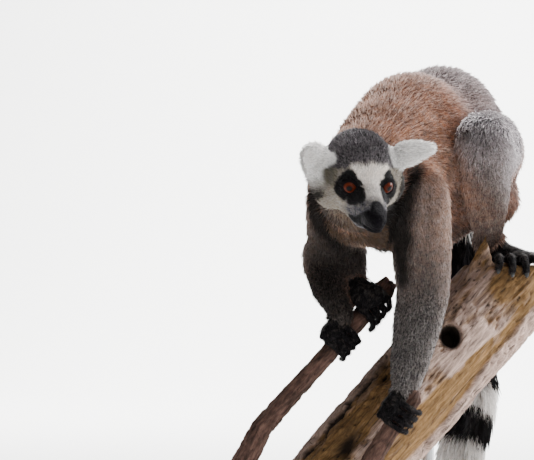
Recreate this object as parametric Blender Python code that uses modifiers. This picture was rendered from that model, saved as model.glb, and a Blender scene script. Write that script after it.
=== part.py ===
"""Ring-tailed lemur, life size, standing on a forked piece of driftwood on a plain display stand.

The animal faces -Y and its left side is +X. The origin is the centre of the underside of the base.
Each chain of the body is modelled whole in one clay, smoothed, and parted with thin slits at its joints.
"""
import math

import bmesh
import bpy
from mathutils import Matrix, Vector

MM = 0.001
GAP = 0.3 * MM            # clearance between touching solids
SLIT = 0.4 * MM           # width of the cuts that part one body into its named pieces

# ---- the skeleton: joints of the standing animal, in metres ----
EYES = Vector((0.045, -0.194, 0.443))          # point midway between the two pupils
HEAD_YAW, HEAD_PITCH = 41.0, 25.0
NAPE = Vector((0.008, -0.140, 0.440))
CHEST = Vector((0.002, -0.076, 0.445))
BACK = Vector((0.001, 0.000, 0.483))
RUMP = Vector((0.003, 0.070, 0.491))
GROIN = Vector((0.006, 0.050, 0.446))


def joints(*places):
    return tuple(Vector(place) for place in places)


ARM_LEFT = joints((0.047, -0.092, 0.436), (0.042, -0.066, 0.354), (0.045, -0.117, 0.268))
ARM_RIGHT = joints((-0.030, -0.094, 0.434), (-0.054, -0.052, 0.376), (-0.015, -0.119, 0.333))
LEG_LEFT = joints((0.030, 0.108, 0.478), (0.080, -0.020, 0.485), (0.054, 0.060, 0.398))
LEG_RIGHT = joints((-0.030, 0.108, 0.478), (-0.065, -0.018, 0.452), (-0.019, -0.084, 0.358))
HEEL_LEFT = Vector((0.046, 0.076, 0.387))
TOES_LEFT = Vector((0.091, 0.047, 0.388))      # where the toes leave the standing foot
TOES_AHEAD = Vector((0.62, -0.78, 0.0)).normalized()

# radii of flesh and coat along the limbs, in millimetres
UPPER_ARM_RADII = {"left": (28, 27, 23), "right": (27, 24, 20)}            # shoulder to elbow
FOREARM_RADII = {"left": (23, 21.5, 17, 12), "right": (20, 18.5, 15, 11)}  # elbow to wrist
THIGH_RADII = (37, 36, 26)                                                 # hip to knee
SHANK_RADII = (25, 24, 18, 12.5)                                           # knee to ankle
HAM_RADIUS = 31                                 # the flesh that fills a folded hind leg
FOLD_REACH = 170 * MM                           # radius of the cut across a bent limb
TAIL = [Vector(p) for p in (
    (-0.002, 0.128, 0.478), (-0.006, 0.168, 0.468), (-0.016, 0.190, 0.430), (-0.019, 0.184, 0.375),
    (-0.011, 0.173, 0.315), (0.003, 0.156, 0.255), (-0.002, 0.139, 0.205), (-0.007, 0.133, 0.155),
    (-0.010, 0.142, 0.110), (-0.012, 0.170, 0.078), (-0.012, 0.210, 0.076), (-0.010, 0.244, 0.098))]
TAIL_RADII = (22, 17, 16, 17, 18, 19, 20, 20, 20, 20, 18, 11)          # mm
TAIL_LENGTHS = 6

# ---- the perch ----
LOG = [Vector(p) for p in (
    (0.097, 0.111, 0.400), (0.081, 0.076, 0.368), (0.049, 0.028, 0.315), (0.021, -0.023, 0.265),
    (-0.006, -0.069, 0.220), (-0.039, -0.106, 0.173), (-0.068, -0.120, 0.125))]
LOG_RADII = (44, 45, 45, 46, 45, 42, 36)                               # mm
LOG_TOP = 0.375                                                        # height of the broken end
BRANCH = [Vector(p) for p in (
    (0.005, -0.064, 0.356), (-0.012, -0.105, 0.319), (-0.046, -0.137, 0.271), (-0.074, -0.156, 0.234),
    (-0.092, -0.162, 0.198), (-0.098, -0.151, 0.156), (-0.086, -0.131, 0.122))]
BRANCH_RADII = (10.5, 9.5, 9, 10.5, 12, 13, 14)                        # mm
STAKE = [Vector(p) for p in (
    (0.054, -0.118, 0.261), (0.035, -0.122, 0.234), (0.016, -0.119, 0.207), (-0.003, -0.109, 0.185))]
STAKE_RADII = (9, 9, 9.5, 10)                                          # mm
SPLINTER_ROOT, SPLINTER_TIP = Vector((0.063, 0.028, 0.356)), Vector((0.064, 0.028, 0.404))
SPLINTER_WIDTH, SPLINTER_THICKNESS = 28 * MM, 11 * MM
SPLINTER_TURN = math.radians(25)
KNOT_HOLE = Vector((0.053, -0.028, 0.312))
KNOT_AIM = Vector((0.42, -0.85, 0.30))
KNOT_RADIUS, KNOT_DEPTH = 9.5 * MM, 30 * MM
KNOT_STRETCH = 1.4                                                     # its height over its width

# ---- the stand ----
BASE_SIZE = (0.36, 0.42, 0.018)
ROD_RADIUS = 6 * MM
RODS = {"stand_rod_front": (-0.056, -0.115), "stand_rod_back": (0.025, -0.016)}

# ---- colours ----
COLOURS = {
    "back": (0.27, 0.17, 0.11), "grey": (0.30, 0.28, 0.27), "pale": (0.62, 0.56, 0.49),
    "cap": (0.12, 0.11, 0.12), "white": (0.80, 0.76, 0.72), "black": (0.02, 0.02, 0.022),
    "iris": (0.28, 0.05, 0.02), "wood": (0.36, 0.23, 0.16), "bark": (0.13, 0.08, 0.06),
    "base": (0.09, 0.08, 0.075), "steel": (0.55, 0.56, 0.58)}


def clear_scene():
    for old in list(bpy.data.objects):
        bpy.data.objects.remove(old, do_unlink=True)


clear_scene()
PARTS = bpy.data.collections.new("Ring-tailed lemur")
CUTTERS = bpy.data.collections.new("Cutters")
for group in (PARTS, CUTTERS):
    bpy.context.scene.collection.children.link(group)


def finish_of(colour, roughness=0.85, metallic=0.0):
    """The material of that colour, made once and shared by the pieces that have it."""
    found = bpy.data.materials.get(colour)
    if found:
        return found
    made = bpy.data.materials.new(colour)
    made.use_nodes = True
    shader = made.node_tree.nodes["Principled BSDF"]
    shader.inputs["Base Color"].default_value = (*COLOURS[colour], 1.0)
    shader.inputs["Roughness"].default_value = roughness
    shader.inputs["Metallic"].default_value = metallic
    return made


def new_object(name, bm, group):
    mesh = bpy.data.meshes.new(name)
    bm.to_mesh(mesh)
    bm.free()
    made = bpy.data.objects.new(name, mesh)
    group.objects.link(made)
    return made


def applied(piece):
    """Replaces a piece's mesh by its evaluated mesh, with no modifiers left."""
    depsgraph = bpy.context.evaluated_depsgraph_get()
    mesh = bpy.data.meshes.new_from_object(piece.evaluated_get(depsgraph))
    piece.modifiers.clear()
    piece.data = mesh
    return piece


def name_as(piece, name, colour, **finish):
    """Gives a finished solid its node name, its material and smooth shading."""
    piece.name = name
    piece.data.name = name
    piece.data.materials.clear()
    piece.data.materials.append(finish_of(colour, **finish))
    piece.data.shade_smooth()
    piece.data.set_sharp_from_angle(angle=math.radians(50))
    return piece


def between(a, b, share):
    return a.lerp(b, share)


def stood(centre, axis):
    """The matrix that puts a cone or a plate at centre, with its own z along axis."""
    return Matrix.Translation(centre) @ axis.to_track_quat("Z", "Y").to_matrix().to_4x4()


# ---- clay: balls and tapered rounds, melted into one body ----
def ball(bm, centre, radii, turn=None, detail=3):
    """An ellipsoid of the given radii at centre, turned by a matrix."""
    turned = turn.to_4x4() if turn else Matrix()
    shape = Matrix.Translation(centre) @ turned @ Matrix.Diagonal((*radii, 1.0))
    bmesh.ops.create_icosphere(bm, subdivisions=detail, radius=1.0, matrix=shape)


def round_link(bm, a, radius_a, b, radius_b, detail=2):
    """A tapered round between two points: a cone with a ball at each end."""
    for centre, radius in ((a, radius_a), (b, radius_b)):
        bmesh.ops.create_icosphere(bm, subdivisions=detail, radius=radius, matrix=Matrix.Translation(centre))
    bmesh.ops.create_cone(bm, cap_ends=True, segments=8 * detail, radius1=radius_a, radius2=radius_b,
                          depth=(b - a).length, matrix=stood(between(a, b, 0.5), b - a))


def chain(bm, points, radii, detail=2):
    """A bent limb: tapered rounds from point to point, with radii in millimetres."""
    for (a, ra), (b, rb) in zip(zip(points, radii), zip(points[1:], radii[1:])):
        round_link(bm, a, ra * MM, b, rb * MM, detail)


def melted(name, bm, grain, smoothing, triangles):
    """One smooth closed body from overlapping shapes, thinned to about so many triangles."""
    piece = new_object(name, bm, PARTS)
    remesh = piece.modifiers.new("Melt", "REMESH")
    remesh.mode = "VOXEL"
    remesh.voxel_size = grain
    smooth = piece.modifiers.new("Smooth", "SMOOTH")
    smooth.factor = 0.5
    smooth.iterations = smoothing
    applied(piece)
    thin = piece.modifiers.new("Thin", "DECIMATE")
    thin.use_collapse_triangulate = True
    thin.ratio = min(1.0, triangles / (2.0 * len(piece.data.polygons)))
    return applied(piece)


# ---- cutting and parting ----
def grown(piece, by):
    """A cutter that is a copy of the piece, grown by a clearance."""
    cutter = piece.copy()
    cutter.data = piece.data.copy()
    cutter.name = "clearance of " + piece.name
    CUTTERS.objects.link(cutter)
    swell = cutter.modifiers.new("Clearance", "DISPLACE")
    swell.mid_level = 0.0
    swell.strength = by
    return hidden(applied(cutter))


def hidden(cutter):
    cutter.hide_render = True
    cutter.display_type = "WIRE"
    return cutter


def cut(piece, cutter, operation="DIFFERENCE"):
    boolean = piece.modifiers.new("Cut", "BOOLEAN")
    boolean.operation = operation
    boolean.solver = "EXACT"
    boolean.object = cutter
    return applied(piece)


def disc(centre, normal, radius):
    """A cutter: a thin round plate square to normal."""
    bm = bmesh.new()
    bmesh.ops.create_cone(bm, cap_ends=True, segments=24, radius1=radius, radius2=radius, depth=SLIT,
                          matrix=stood(centre, normal))
    return hidden(new_object("slit", bm, CUTTERS))


def islands(piece):
    """The separate closed bodies in a piece, largest first."""
    bm = bmesh.new()
    bm.from_mesh(piece.data)
    seen, found = set(), []
    for start in bm.faces:
        if start in seen:
            continue
        stack, island = [start], []
        seen.add(start)
        while stack:
            face = stack.pop()
            island.append(face.index)
            for edge in face.edges:
                for other in edge.link_faces:
                    if other not in seen:
                        seen.add(other)
                        stack.append(other)
        found.append(island)
    bodies = []
    for island in sorted(found, key=len, reverse=True):
        body = bm.copy()
        kept = set(island)
        bmesh.ops.delete(body, geom=[f for f in body.faces if f.index not in kept], context="FACES")
        bodies.append(body)
    bm.free()
    return bodies


def centre_of(bm):
    total, weight = Vector(), 0.0
    for face in bm.faces:
        area = face.calc_area()
        total += face.calc_center_median() * area
        weight += area
    return total / weight


def parted(piece, anchors):
    """Splits a slit body into its closed pieces, each named for the nearest anchor, and drops crumbs.
    anchors: {name: (point, colour)}"""
    bodies = islands(piece)[:len(anchors)]
    if len(bodies) < len(anchors):
        raise ValueError(f"{piece.name} has a slit that doesn't go right through")
    left = dict(anchors)
    made = {}
    pairs = sorted(((centre_of(body) - point).length, i, name)
                   for i, body in enumerate(bodies) for name, (point, _) in anchors.items())
    taken = set()
    for _, i, name in pairs:
        if i in taken or name not in left:
            continue
        taken.add(i)
        colour = left.pop(name)[1]
        made[name] = name_as(new_object(name, bodies[i], PARTS), name, colour)
    bpy.data.objects.remove(piece, do_unlink=True)
    return made


def largest(piece):
    """Keeps only the largest closed body of a piece."""
    bodies = islands(piece)
    name = piece.name
    bpy.data.objects.remove(piece, do_unlink=True)
    for crumb in bodies[1:]:
        crumb.free()
    return new_object(name, bodies[0], PARTS)


# ---- the perch and the stand ----
def make_log():
    bm = bmesh.new()
    chain(bm, LOG, LOG_RADII, detail=3)
    log = melted("perch_log", bm, 4 * MM, 6, 460)
    bm = bmesh.new()
    bmesh.ops.create_cube(bm, size=0.3, matrix=Matrix.Translation((0.08, 0.08, LOG_TOP + 0.15)))
    cut(log, hidden(new_object("broken end", bm, CUTTERS)))
    bm = bmesh.new()
    bmesh.ops.create_cone(bm, cap_ends=True, segments=12, radius1=KNOT_RADIUS * 0.7, radius2=KNOT_RADIUS,
                          depth=KNOT_DEPTH,
                          matrix=stood(KNOT_HOLE, KNOT_AIM) @ Matrix.Diagonal((1, KNOT_STRETCH, 1, 1)))
    cut(log, hidden(new_object("knot hole", bm, CUTTERS)))
    return name_as(log, "perch_log", "wood")


def make_splinter():
    bm = bmesh.new()
    wedge = Matrix.Diagonal((SPLINTER_WIDTH, SPLINTER_THICKNESS, 1, 1))
    bmesh.ops.create_cone(bm, cap_ends=True, segments=12, radius1=0.5, radius2=0.05,
                          depth=(SPLINTER_TIP - SPLINTER_ROOT).length,
                          matrix=Matrix.Translation(between(SPLINTER_ROOT, SPLINTER_TIP, 0.5))
                          @ Matrix.Rotation(SPLINTER_TURN, 4, "Z") @ wedge)
    splinter = new_object("perch_splinter", bm, PARTS)
    cut(splinter, grown(log, GAP))
    return name_as(largest(splinter), "perch_splinter", "wood")


def make_round_stick(name, points, radii, colour, triangles, log):
    bm = bmesh.new()
    chain(bm, points, radii)
    stick = melted(name, bm, 2.5 * MM, 4, triangles)
    cut(stick, grown(log, GAP))
    return name_as(largest(stick), name, colour)


def make_stand(log):
    bm = bmesh.new()
    bmesh.ops.create_cube(bm, size=1.0, matrix=Matrix.Translation((0, 0, BASE_SIZE[2] / 2))
                          @ Matrix.Diagonal((*BASE_SIZE, 1.0)))
    base = new_object("stand_base", bm, PARTS)
    edge = base.modifiers.new("Edge", "BEVEL")
    edge.width = 3 * MM
    edge.segments = 2
    name_as(applied(base), "stand_base", "base", roughness=0.5)
    for name, (x, y) in RODS.items():
        top = min(LOG, key=lambda p: (p.xy - Vector((x, y))).length).z
        bottom = BASE_SIZE[2] + GAP
        bm = bmesh.new()
        bmesh.ops.create_cone(bm, cap_ends=True, segments=16, radius1=ROD_RADIUS, radius2=ROD_RADIUS,
                              depth=top - bottom, matrix=Matrix.Translation((x, y, (top + bottom) / 2)))
        rod = new_object(name, bm, PARTS)
        cut(rod, grown(log, GAP))
        name_as(largest(rod), name, "steel", roughness=0.3, metallic=1.0)


log = make_log()
branch = make_round_stick("perch_branch", BRANCH, BRANCH_RADII, "bark", 160, log)
stake = make_round_stick("perch_stake", STAKE, STAKE_RADII, "bark", 100, log)
splinter = make_splinter()
make_stand(log)


# ---- the head, in its own frame: x to its left, -y ahead, z up, origin between the pupils ----
HEAD = (Matrix.Translation(EYES) @ Matrix.Rotation(math.radians(HEAD_YAW), 4, "Z")
        @ Matrix.Rotation(math.radians(HEAD_PITCH), 4, "X"))
EYE_RADIUS = 9.0 * MM
SOCKET_RADIUS = 9.75 * MM   # the socket is faceted, so its flats stand clear of the eyeball
EYE_PLACE = (14.4 * MM, 8.5 * MM, 0.0)
EAR_ROOT = Vector((25.0, 38.0, 14.0)) * MM
EAR_WAY = Vector((31.0, -30.0, 13.0)).normalized()
EAR_LENGTH, EAR_WIDTH, EAR_DEPTH = 45 * MM, 27 * MM, 13 * MM


def in_head(x, y, z):
    return HEAD @ (Vector((x, y, z)) * MM)


def head_ball(bm, centre, radii):
    ball(bm, in_head(*centre), Vector(radii) * MM, HEAD.to_3x3())


def head_shapes(bm):
    head_ball(bm, (0, 38, 7), (31, 36, 29))
    head_ball(bm, (0, 16, 12), (24, 19, 14))
    head_ball(bm, (0, 22, -8), (32, 25, 24))
    for side in (-1, 1):
        head_ball(bm, (side * 23, 28, -9), (18, 20, 22))
        head_ball(bm, (side * 15, 6, -9), (12, 12, 10))
    chain(bm, [in_head(0, 4, -8), in_head(0, -15, -12), in_head(0, -32, -16)], (17, 13.5, 10.5))
    chain(bm, [in_head(0, 12, -25), in_head(0, -14, -28), in_head(0, -27, -29)], (15, 11, 8.5))


def make_ear(name, side, head):
    way = Vector((side * EAR_WAY.x, EAR_WAY.y, EAR_WAY.z))
    broad = way.cross(Vector((side, 0.6, 0.0))).normalized()
    flat = broad.cross(way).normalized()
    turn = HEAD.to_3x3() @ Matrix((way, broad, flat)).transposed()
    root = Vector((side * EAR_ROOT.x, EAR_ROOT.y, EAR_ROOT.z))
    bm = bmesh.new()
    for share, length, width in ((0.30, 0.42, 0.40), (0.55, 0.36, 0.50), (0.78, 0.24, 0.36)):
        ball(bm, HEAD @ (root + way * EAR_LENGTH * share),
             (EAR_LENGTH * length, EAR_WIDTH * width, EAR_DEPTH * 0.5), turn)
    ear = melted(name, bm, 2 * MM, 4, 130)
    cut(ear, grown(head, GAP))
    return name_as(largest(ear), name, "white")


# ---- the trunk, neck and tail ----
def tilted(pitch):
    return Matrix.Rotation(math.radians(pitch), 3, "X")


def smooth_path(points, radii, steps):
    """Points and radii along a Catmull-Rom curve through the given ones."""
    out = []
    last = len(points) - 1
    for i in range(last):
        before, a, b, after = (points[max(i - 1, 0)], points[i], points[i + 1], points[min(i + 2, last)])
        for step in range(steps):
            t = step / steps
            p = 0.5 * ((2 * a) + (b - before) * t + (2 * before - 5 * a + 4 * b - after) * t * t
                       + (3 * a - before - 3 * b + after) * t ** 3)
            out.append((p, radii[i] * (1 - t) + radii[i + 1] * t))
    out.append((points[-1], radii[-1]))
    return [p for p, _ in out], [r for _, r in out]


def make_trunk():
    bm = bmesh.new()
    head_shapes(bm)
    chain(bm, [in_head(0, 55, -4), NAPE, CHEST], (29, 33, 46), detail=3)
    ball(bm, CHEST + Vector((0, 0, 0.004)), (0.053, 0.064, 0.055), tilted(22))
    ball(bm, BACK, (0.054, 0.073, 0.065), tilted(15))
    ball(bm, RUMP, (0.055, 0.066, 0.066), tilted(-8))
    ball(bm, GROIN, (0.042, 0.056, 0.053))
    ball(bm, between(CHEST, BACK, 0.5) + Vector((0, 0, 0.006)), (0.053, 0.068, 0.058), tilted(27))
    path, radii = smooth_path(TAIL, TAIL_RADII, 3)
    chain(bm, path, radii)
    trunk = melted("trunk", bm, 3 * MM, 10, 1500)
    clearance = grown(trunk, GAP)
    for side in (-1, 1):
        socket = bmesh.new()
        ball(socket, HEAD @ Vector((side * EYE_PLACE[0], *EYE_PLACE[1:])), (SOCKET_RADIUS,) * 3, detail=2)
        cut(trunk, hidden(new_object("socket", socket, CUTTERS)))
    slits = [
        (in_head(0, -19, -20), HEAD.to_3x3() @ Vector((0, 1, 0.15)), 27 * MM),
        (between(in_head(0, 55, -4), NAPE, 0.35), NAPE - in_head(0, 45, -4), 60 * MM),
        (between(NAPE, CHEST, 0.45), CHEST - NAPE, 62 * MM),
        (between(CHEST, BACK, 0.55), BACK - CHEST, 95 * MM),
        (between(BACK, RUMP, 0.55), RUMP - BACK, 95 * MM)]
    count = len(path)
    cuts = [round(1 + (count - 2) * (0.075 + 0.925 * i / TAIL_LENGTHS)) for i in range(TAIL_LENGTHS)]
    for i in cuts:
        slits.append((path[i], path[i + 1] - path[i - 1], (radii[i] + 12) * MM))
    for centre, normal, radius in slits:
        cut(trunk, disc(centre, normal, radius))
    anchors = {
        "muzzle": (in_head(0, -34, -20), "black"), "head": (in_head(0, 22, -2), "cap"),
        "neck": (between(in_head(0, 55, -4), CHEST, 0.5), "pale"), "chest": (CHEST, "back"),
        "back": (BACK, "back"), "rump": (RUMP, "grey")}
    ends = cuts + [count - 1]
    for i, (start, end) in enumerate(zip(ends, ends[1:])):
        anchors[f"tail_{i + 1}"] = (path[(start + end) // 2], "black" if i % 2 else "white")
    return parted(trunk, anchors), clearance


# ---- the limbs ----
def make_limb(name, bones, upper_radii, lower_radii, upper, lower, colours, obstacles, triangles, ham=0):
    """A limb of two lengths, bent at its middle joint, trimmed to its neighbours and parted there.
    ham is the radius of the flesh that fills the bend of a folded hind leg, in millimetres."""
    root, middle, end = bones
    bm = bmesh.new()
    chain(bm, [root, between(root, middle, 0.5), middle], upper_radii)
    chain(bm, [middle, between(middle, end, 0.35), between(middle, end, 0.72), end], lower_radii)
    if ham:
        ball(bm, between(root, end, 0.5), (ham * MM,) * 3)
    limb = melted(name, bm, 3 * MM, 6, triangles)
    whole = grown(limb, GAP)
    for obstacle in obstacles:
        cut(limb, obstacle)
    way = (middle - root).normalized() + (end - middle).normalized()
    cut(limb, disc(middle, way, FOLD_REACH))
    parted(limb, {upper: (between(root, middle, 0.6), colours[0]),
                  lower: (between(middle, end, 0.5), colours[1])})
    return whole


def digit(bm, start, way, axis, length, bend, radius, steps=6):
    """A finger or toe: it leaves start along way and curls by bend about axis, thinning to its tip."""
    points, radii = [start], [radius]
    for step in range(steps):
        turned = Matrix.Rotation(bend * (step + 0.5) / steps, 3, axis) @ way
        points.append(points[-1] + turned * (length / steps))
        radii.append(radius * (1 - 0.3 * (step + 1) / steps))
    chain(bm, points, radii, detail=1)


def grip(bm, bar, bar_radius, palm_side, turn, fingers, thumb, pitch):
    """Digits curled round a bar, which is (point, direction). fingers is (radius, lengths, start angle),
    and thumb is (radius, length, start angle, shift along the bar)."""
    point, way = bar
    out = (palm_side - way * palm_side.dot(way)).normalized()
    around = way.cross(out) * turn

    def curl(radius, length, begin, shift, sense):
        reach = (bar_radius + radius + 1.0) * MM
        angle = math.radians(begin) * sense
        spoke = out * math.cos(angle) + around * math.sin(angle)
        heading = (around * math.cos(angle) - out * math.sin(angle)) * sense
        digit(bm, point + way * shift * MM + spoke * reach, heading, way * turn * sense,
              length * MM, length * MM / reach, radius)

    radius, lengths, begin = fingers
    for i, length in enumerate(lengths):
        curl(radius, length, begin, (i - (len(lengths) - 1) / 2) * pitch, 1)
    radius, length, begin, shift = thumb
    curl(radius, length, begin, shift, -1)
    return out


def make_paw(name, shapes, colour, obstacles, triangles):
    paw = melted(name, shapes, 1.7 * MM, 3, triangles)
    for obstacle in obstacles:
        cut(paw, obstacle)
    return name_as(largest(paw), name, colour)


def gripping_hand(name, wrist, bar, bar_radius, palm_side, turn, obstacles):
    bm = bmesh.new()
    out = grip(bm, bar, bar_radius, palm_side, turn, (4.3, (33, 37, 38, 32), 25), (4.6, 24, 20, 9), 8.6)
    palm = bar[0] + out * (bar_radius + 7) * MM
    ball(bm, palm, (8 * MM, 15 * MM, 15 * MM), out.to_track_quat("X", "Z").to_matrix())
    chain(bm, [wrist, palm], (10, 9))
    return make_paw(name, bm, "black", obstacles, 330)


def gripping_foot(name, ankle, bar, bar_radius, palm_side, turn, obstacles):
    bm = bmesh.new()
    out = grip(bm, bar, bar_radius, palm_side, turn, (4.8, (27, 31, 33, 30), 20), (5.6, 30, 15, 13), 9.2)
    sole = bar[0] + out * (bar_radius + 8) * MM
    heel = ankle + (ankle - sole).normalized() * 12 * MM
    ball(bm, sole, (9 * MM, 17 * MM, 15 * MM), out.to_track_quat("X", "Z").to_matrix())
    chain(bm, [ankle, sole], (11, 10.5))
    chain(bm, [heel, ankle], (8, 10))
    return make_paw(name, bm, "black", obstacles, 300)


def standing_foot(name, ankle, heel, toes_root, ahead, obstacles):
    """A foot set across the broken end of the log, with its toes bent down over the edge."""
    bm = bmesh.new()
    across = ahead.cross(Vector((0, 0, 1))).normalized()
    instep = between(heel, toes_root, 0.5) + Vector((0, 0, 4 * MM))
    chain(bm, [ankle, instep, toes_root], (11.5, 10, 9))
    chain(bm, [heel, instep], (8.5, 9))
    ball(bm, toes_root, (14 * MM, 12 * MM, 8 * MM), Matrix((across, ahead, Vector((0, 0, 1)))).transposed())
    for shift, length in ((-9, 20), (1, 24), (11, 24), (21, 19)):
        splay = Matrix.Rotation(math.radians(-shift * 0.7), 3, "Z") @ ahead
        digit(bm, toes_root + across * shift * MM + splay * 4 * MM, splay + Vector((0, 0, 0.3)), -across,
              length * MM, math.radians(100), 6.2)
    inner = Matrix.Rotation(math.radians(35), 3, "Z") @ ahead
    digit(bm, toes_root - across * 14 * MM - ahead * 16 * MM, inner + Vector((0, 0, 0.1)), -across,
          26 * MM, math.radians(80), 6.5)
    return make_paw(name, bm, "black", obstacles, 360)


trunk, trunk_clearance = make_trunk()
head = trunk["head"]
for label, side in (("right", -1), ("left", 1)):
    make_ear(f"ear_{label}", side, head)
    bm = bmesh.new()
    bmesh.ops.create_uvsphere(bm, u_segments=12, v_segments=8, radius=EYE_RADIUS,
                              matrix=HEAD @ Matrix.Translation((side * EYE_PLACE[0], *EYE_PLACE[1:])))
    name_as(new_object(f"eye_{label}", bm, PARTS), f"eye_{label}", "iris", roughness=0.1)

perch = [grown(piece, GAP) for piece in (log, branch, stake, splinter)]
arms, legs = {}, {}
for label, arm in (("left", ARM_LEFT), ("right", ARM_RIGHT)):
    arms[label] = make_limb(f"arm_{label}", arm, UPPER_ARM_RADII[label], FOREARM_RADII[label],
                            f"upper_arm_{label}", f"forearm_{label}", ("back", "grey"),
                            [trunk_clearance, *perch], 340)
for label, leg in (("left", LEG_LEFT), ("right", LEG_RIGHT)):
    legs[label] = make_limb(f"leg_{label}", leg, THIGH_RADII, SHANK_RADII, f"thigh_{label}", f"shank_{label}",
                            ("grey", "grey"), [trunk_clearance, arms[label], *perch], 380, HAM_RADIUS)


def hold(path, link, share):
    """A point on a stick and the stick's direction there, for a paw to close round."""
    return between(path[link], path[link + 1], share), (path[link] - path[link + 1]).normalized()


foot_right = gripping_foot("foot_right", LEG_RIGHT[2], hold(BRANCH, 0, 0.5), 10,
                           Vector((0.1, -0.8, 0.45)), 1, [legs["right"], arms["right"], *perch])
gripping_hand("hand_right", ARM_RIGHT[2], hold(BRANCH, 1, 0.2), 9.5,
              Vector((-0.45, -0.45, 0.65)), 1, [arms["right"], grown(foot_right, GAP), *perch])
gripping_hand("hand_left", ARM_LEFT[2], hold(STAKE, 0, 0.55), 9,
              Vector((-0.70, -0.30, 0.60)), 1, [arms["left"], *perch])
standing_foot("foot_left", LEG_LEFT[2], HEEL_LEFT, TOES_LEFT, TOES_AHEAD, [legs["left"], *perch])
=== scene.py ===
"""The looks of a life-size ring-tailed lemur on driftwood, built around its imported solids."""
import math

import bmesh
import bpy
import numpy as np
from mathutils import Matrix, Vector
from mathutils.bvhtree import BVHTree


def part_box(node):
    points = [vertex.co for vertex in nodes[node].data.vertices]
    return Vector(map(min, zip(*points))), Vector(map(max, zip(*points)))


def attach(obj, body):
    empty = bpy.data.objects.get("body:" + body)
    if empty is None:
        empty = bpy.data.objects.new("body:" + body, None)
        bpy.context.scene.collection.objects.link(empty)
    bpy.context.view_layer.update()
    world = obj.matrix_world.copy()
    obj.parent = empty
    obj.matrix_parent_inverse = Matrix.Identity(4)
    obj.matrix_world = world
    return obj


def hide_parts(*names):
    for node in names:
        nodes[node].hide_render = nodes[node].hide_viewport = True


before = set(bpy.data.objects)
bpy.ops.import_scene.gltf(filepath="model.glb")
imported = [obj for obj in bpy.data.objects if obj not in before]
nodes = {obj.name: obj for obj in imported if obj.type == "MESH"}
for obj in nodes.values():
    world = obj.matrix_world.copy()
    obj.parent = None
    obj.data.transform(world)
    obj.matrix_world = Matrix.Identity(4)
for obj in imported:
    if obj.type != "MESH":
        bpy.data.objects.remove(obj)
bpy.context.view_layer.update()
MM = 0.001


# ---- The camera ----
# A long lens level with the animal's chin, from its front left. The frame is about half a metre wide.
VIEW_TURN = math.radians(25)
VIEW_DISTANCE = 3.2
VIEW_WIDTH = 0.4806
camera = bpy.data.objects.new("camera", bpy.data.cameras.new("camera"))
bpy.context.scene.collection.objects.link(camera)
camera.location = (1.2484, -2.9818, 0.407)
camera.rotation_euler = (math.pi / 2, 0, VIEW_TURN)
camera.data.sensor_width = 36
camera.data.lens = camera.data.sensor_width * VIEW_DISTANCE / VIEW_WIDTH
camera.data.clip_end = 50
bpy.context.scene.camera = camera


# ---- The body under the coat ----
# One closed skin for the whole animal: the flesh of every part merged, drawn in by the depth of its coat.
FLESH = [name for name in nodes if not name.startswith(("perch", "stand", "eye"))]
FURRED = [name for name in FLESH if not name.startswith(("hand", "foot"))]
COAT_DEPTH = {"head": 1.6, "muzzle": 0.6, "ear": 1.0, "neck": 6.5, "chest": 6.0, "back": 6.0, "rump": 6.5,
              "upper_arm": 4.5, "forearm": 3.6, "thigh": 6.0, "shank": 4.5, "tail": 9.5,
              "hand": 0.4, "foot": 0.4}                # millimetres
BODY_GRAIN, SKIN_GRAIN = 2.6 * MM, 1.25 * MM
FACE_DEPTH, TRUNK_SPARED, LIMBS_SPARED = 0.8, 1.6, 0.25    # millimetres twice, and a share of the depth
SOCKET_FILL = 9.9 * MM                                 # a ball in each eye socket, which gives the lids skin
TO_RIGHT = np.array((0.906, 0.423, 0.0))               # level, to the right as the camera sees it
TO_CAMERA = np.array((0.42, -0.90, 0.0))


def kind(name):
    """The part's name without its side or number: ear_left gives ear."""
    stem, _, last = name.rpartition("_")
    return stem if last in ("left", "right") or last.isdigit() else name


def linked(name, mesh):
    piece = bpy.data.objects.new(name, mesh)
    bpy.context.scene.collection.objects.link(piece)
    return piece


def shaped(name, bm):
    """A new piece from a bmesh, which is used up."""
    mesh = bpy.data.meshes.new(name)
    bm.to_mesh(mesh)
    bm.free()
    return linked(name, mesh)


def plain(piece):
    """Turns a piece with modifiers into its evaluated mesh."""
    bpy.context.view_layer.update()
    depsgraph = bpy.context.evaluated_depsgraph_get()
    mesh = bpy.data.meshes.new_from_object(piece.evaluated_get(depsgraph), preserve_all_data_layers=True,
                                           depsgraph=depsgraph)
    piece.modifiers.clear()
    piece.data = mesh
    return piece


def merged(names):
    """A bmesh that holds copies of those solids, with their loose triangles joined."""
    bm = bmesh.new()
    for name in names:
        bm.from_mesh(nodes[name].data)
    bmesh.ops.remove_doubles(bm, verts=bm.verts, dist=0.01 * MM)
    return bm


def melt(piece, grain, passes):
    """One closed surface of even grain round everything in the piece, smoothed."""
    remesh = piece.modifiers.new("melt", "REMESH")
    remesh.mode = "VOXEL"
    remesh.voxel_size = grain
    smooth = piece.modifiers.new("smooth", "SMOOTH")
    smooth.factor = 0.5
    smooth.iterations = passes
    return plain(piece)


def rows_of(items, field, width, kind_of_number):
    """One field of all of a mesh's items, a row for each item."""
    values = np.empty(len(items) * width, kind_of_number)
    items.foreach_get(field, values)
    return values.reshape(-1, width)


def points_of(mesh):
    return rows_of(mesh.vertices, "co", 3, np.float32).astype(float)


def normals_of(mesh):
    return rows_of(mesh.vertices, "normal", 3, np.float32).astype(float)


def edges_of(mesh):
    return rows_of(mesh.edges, "vertices", 2, np.int32)


def place(mesh, co):
    mesh.vertices.foreach_set("co", co.astype(np.float32).ravel())
    mesh.update()


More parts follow.
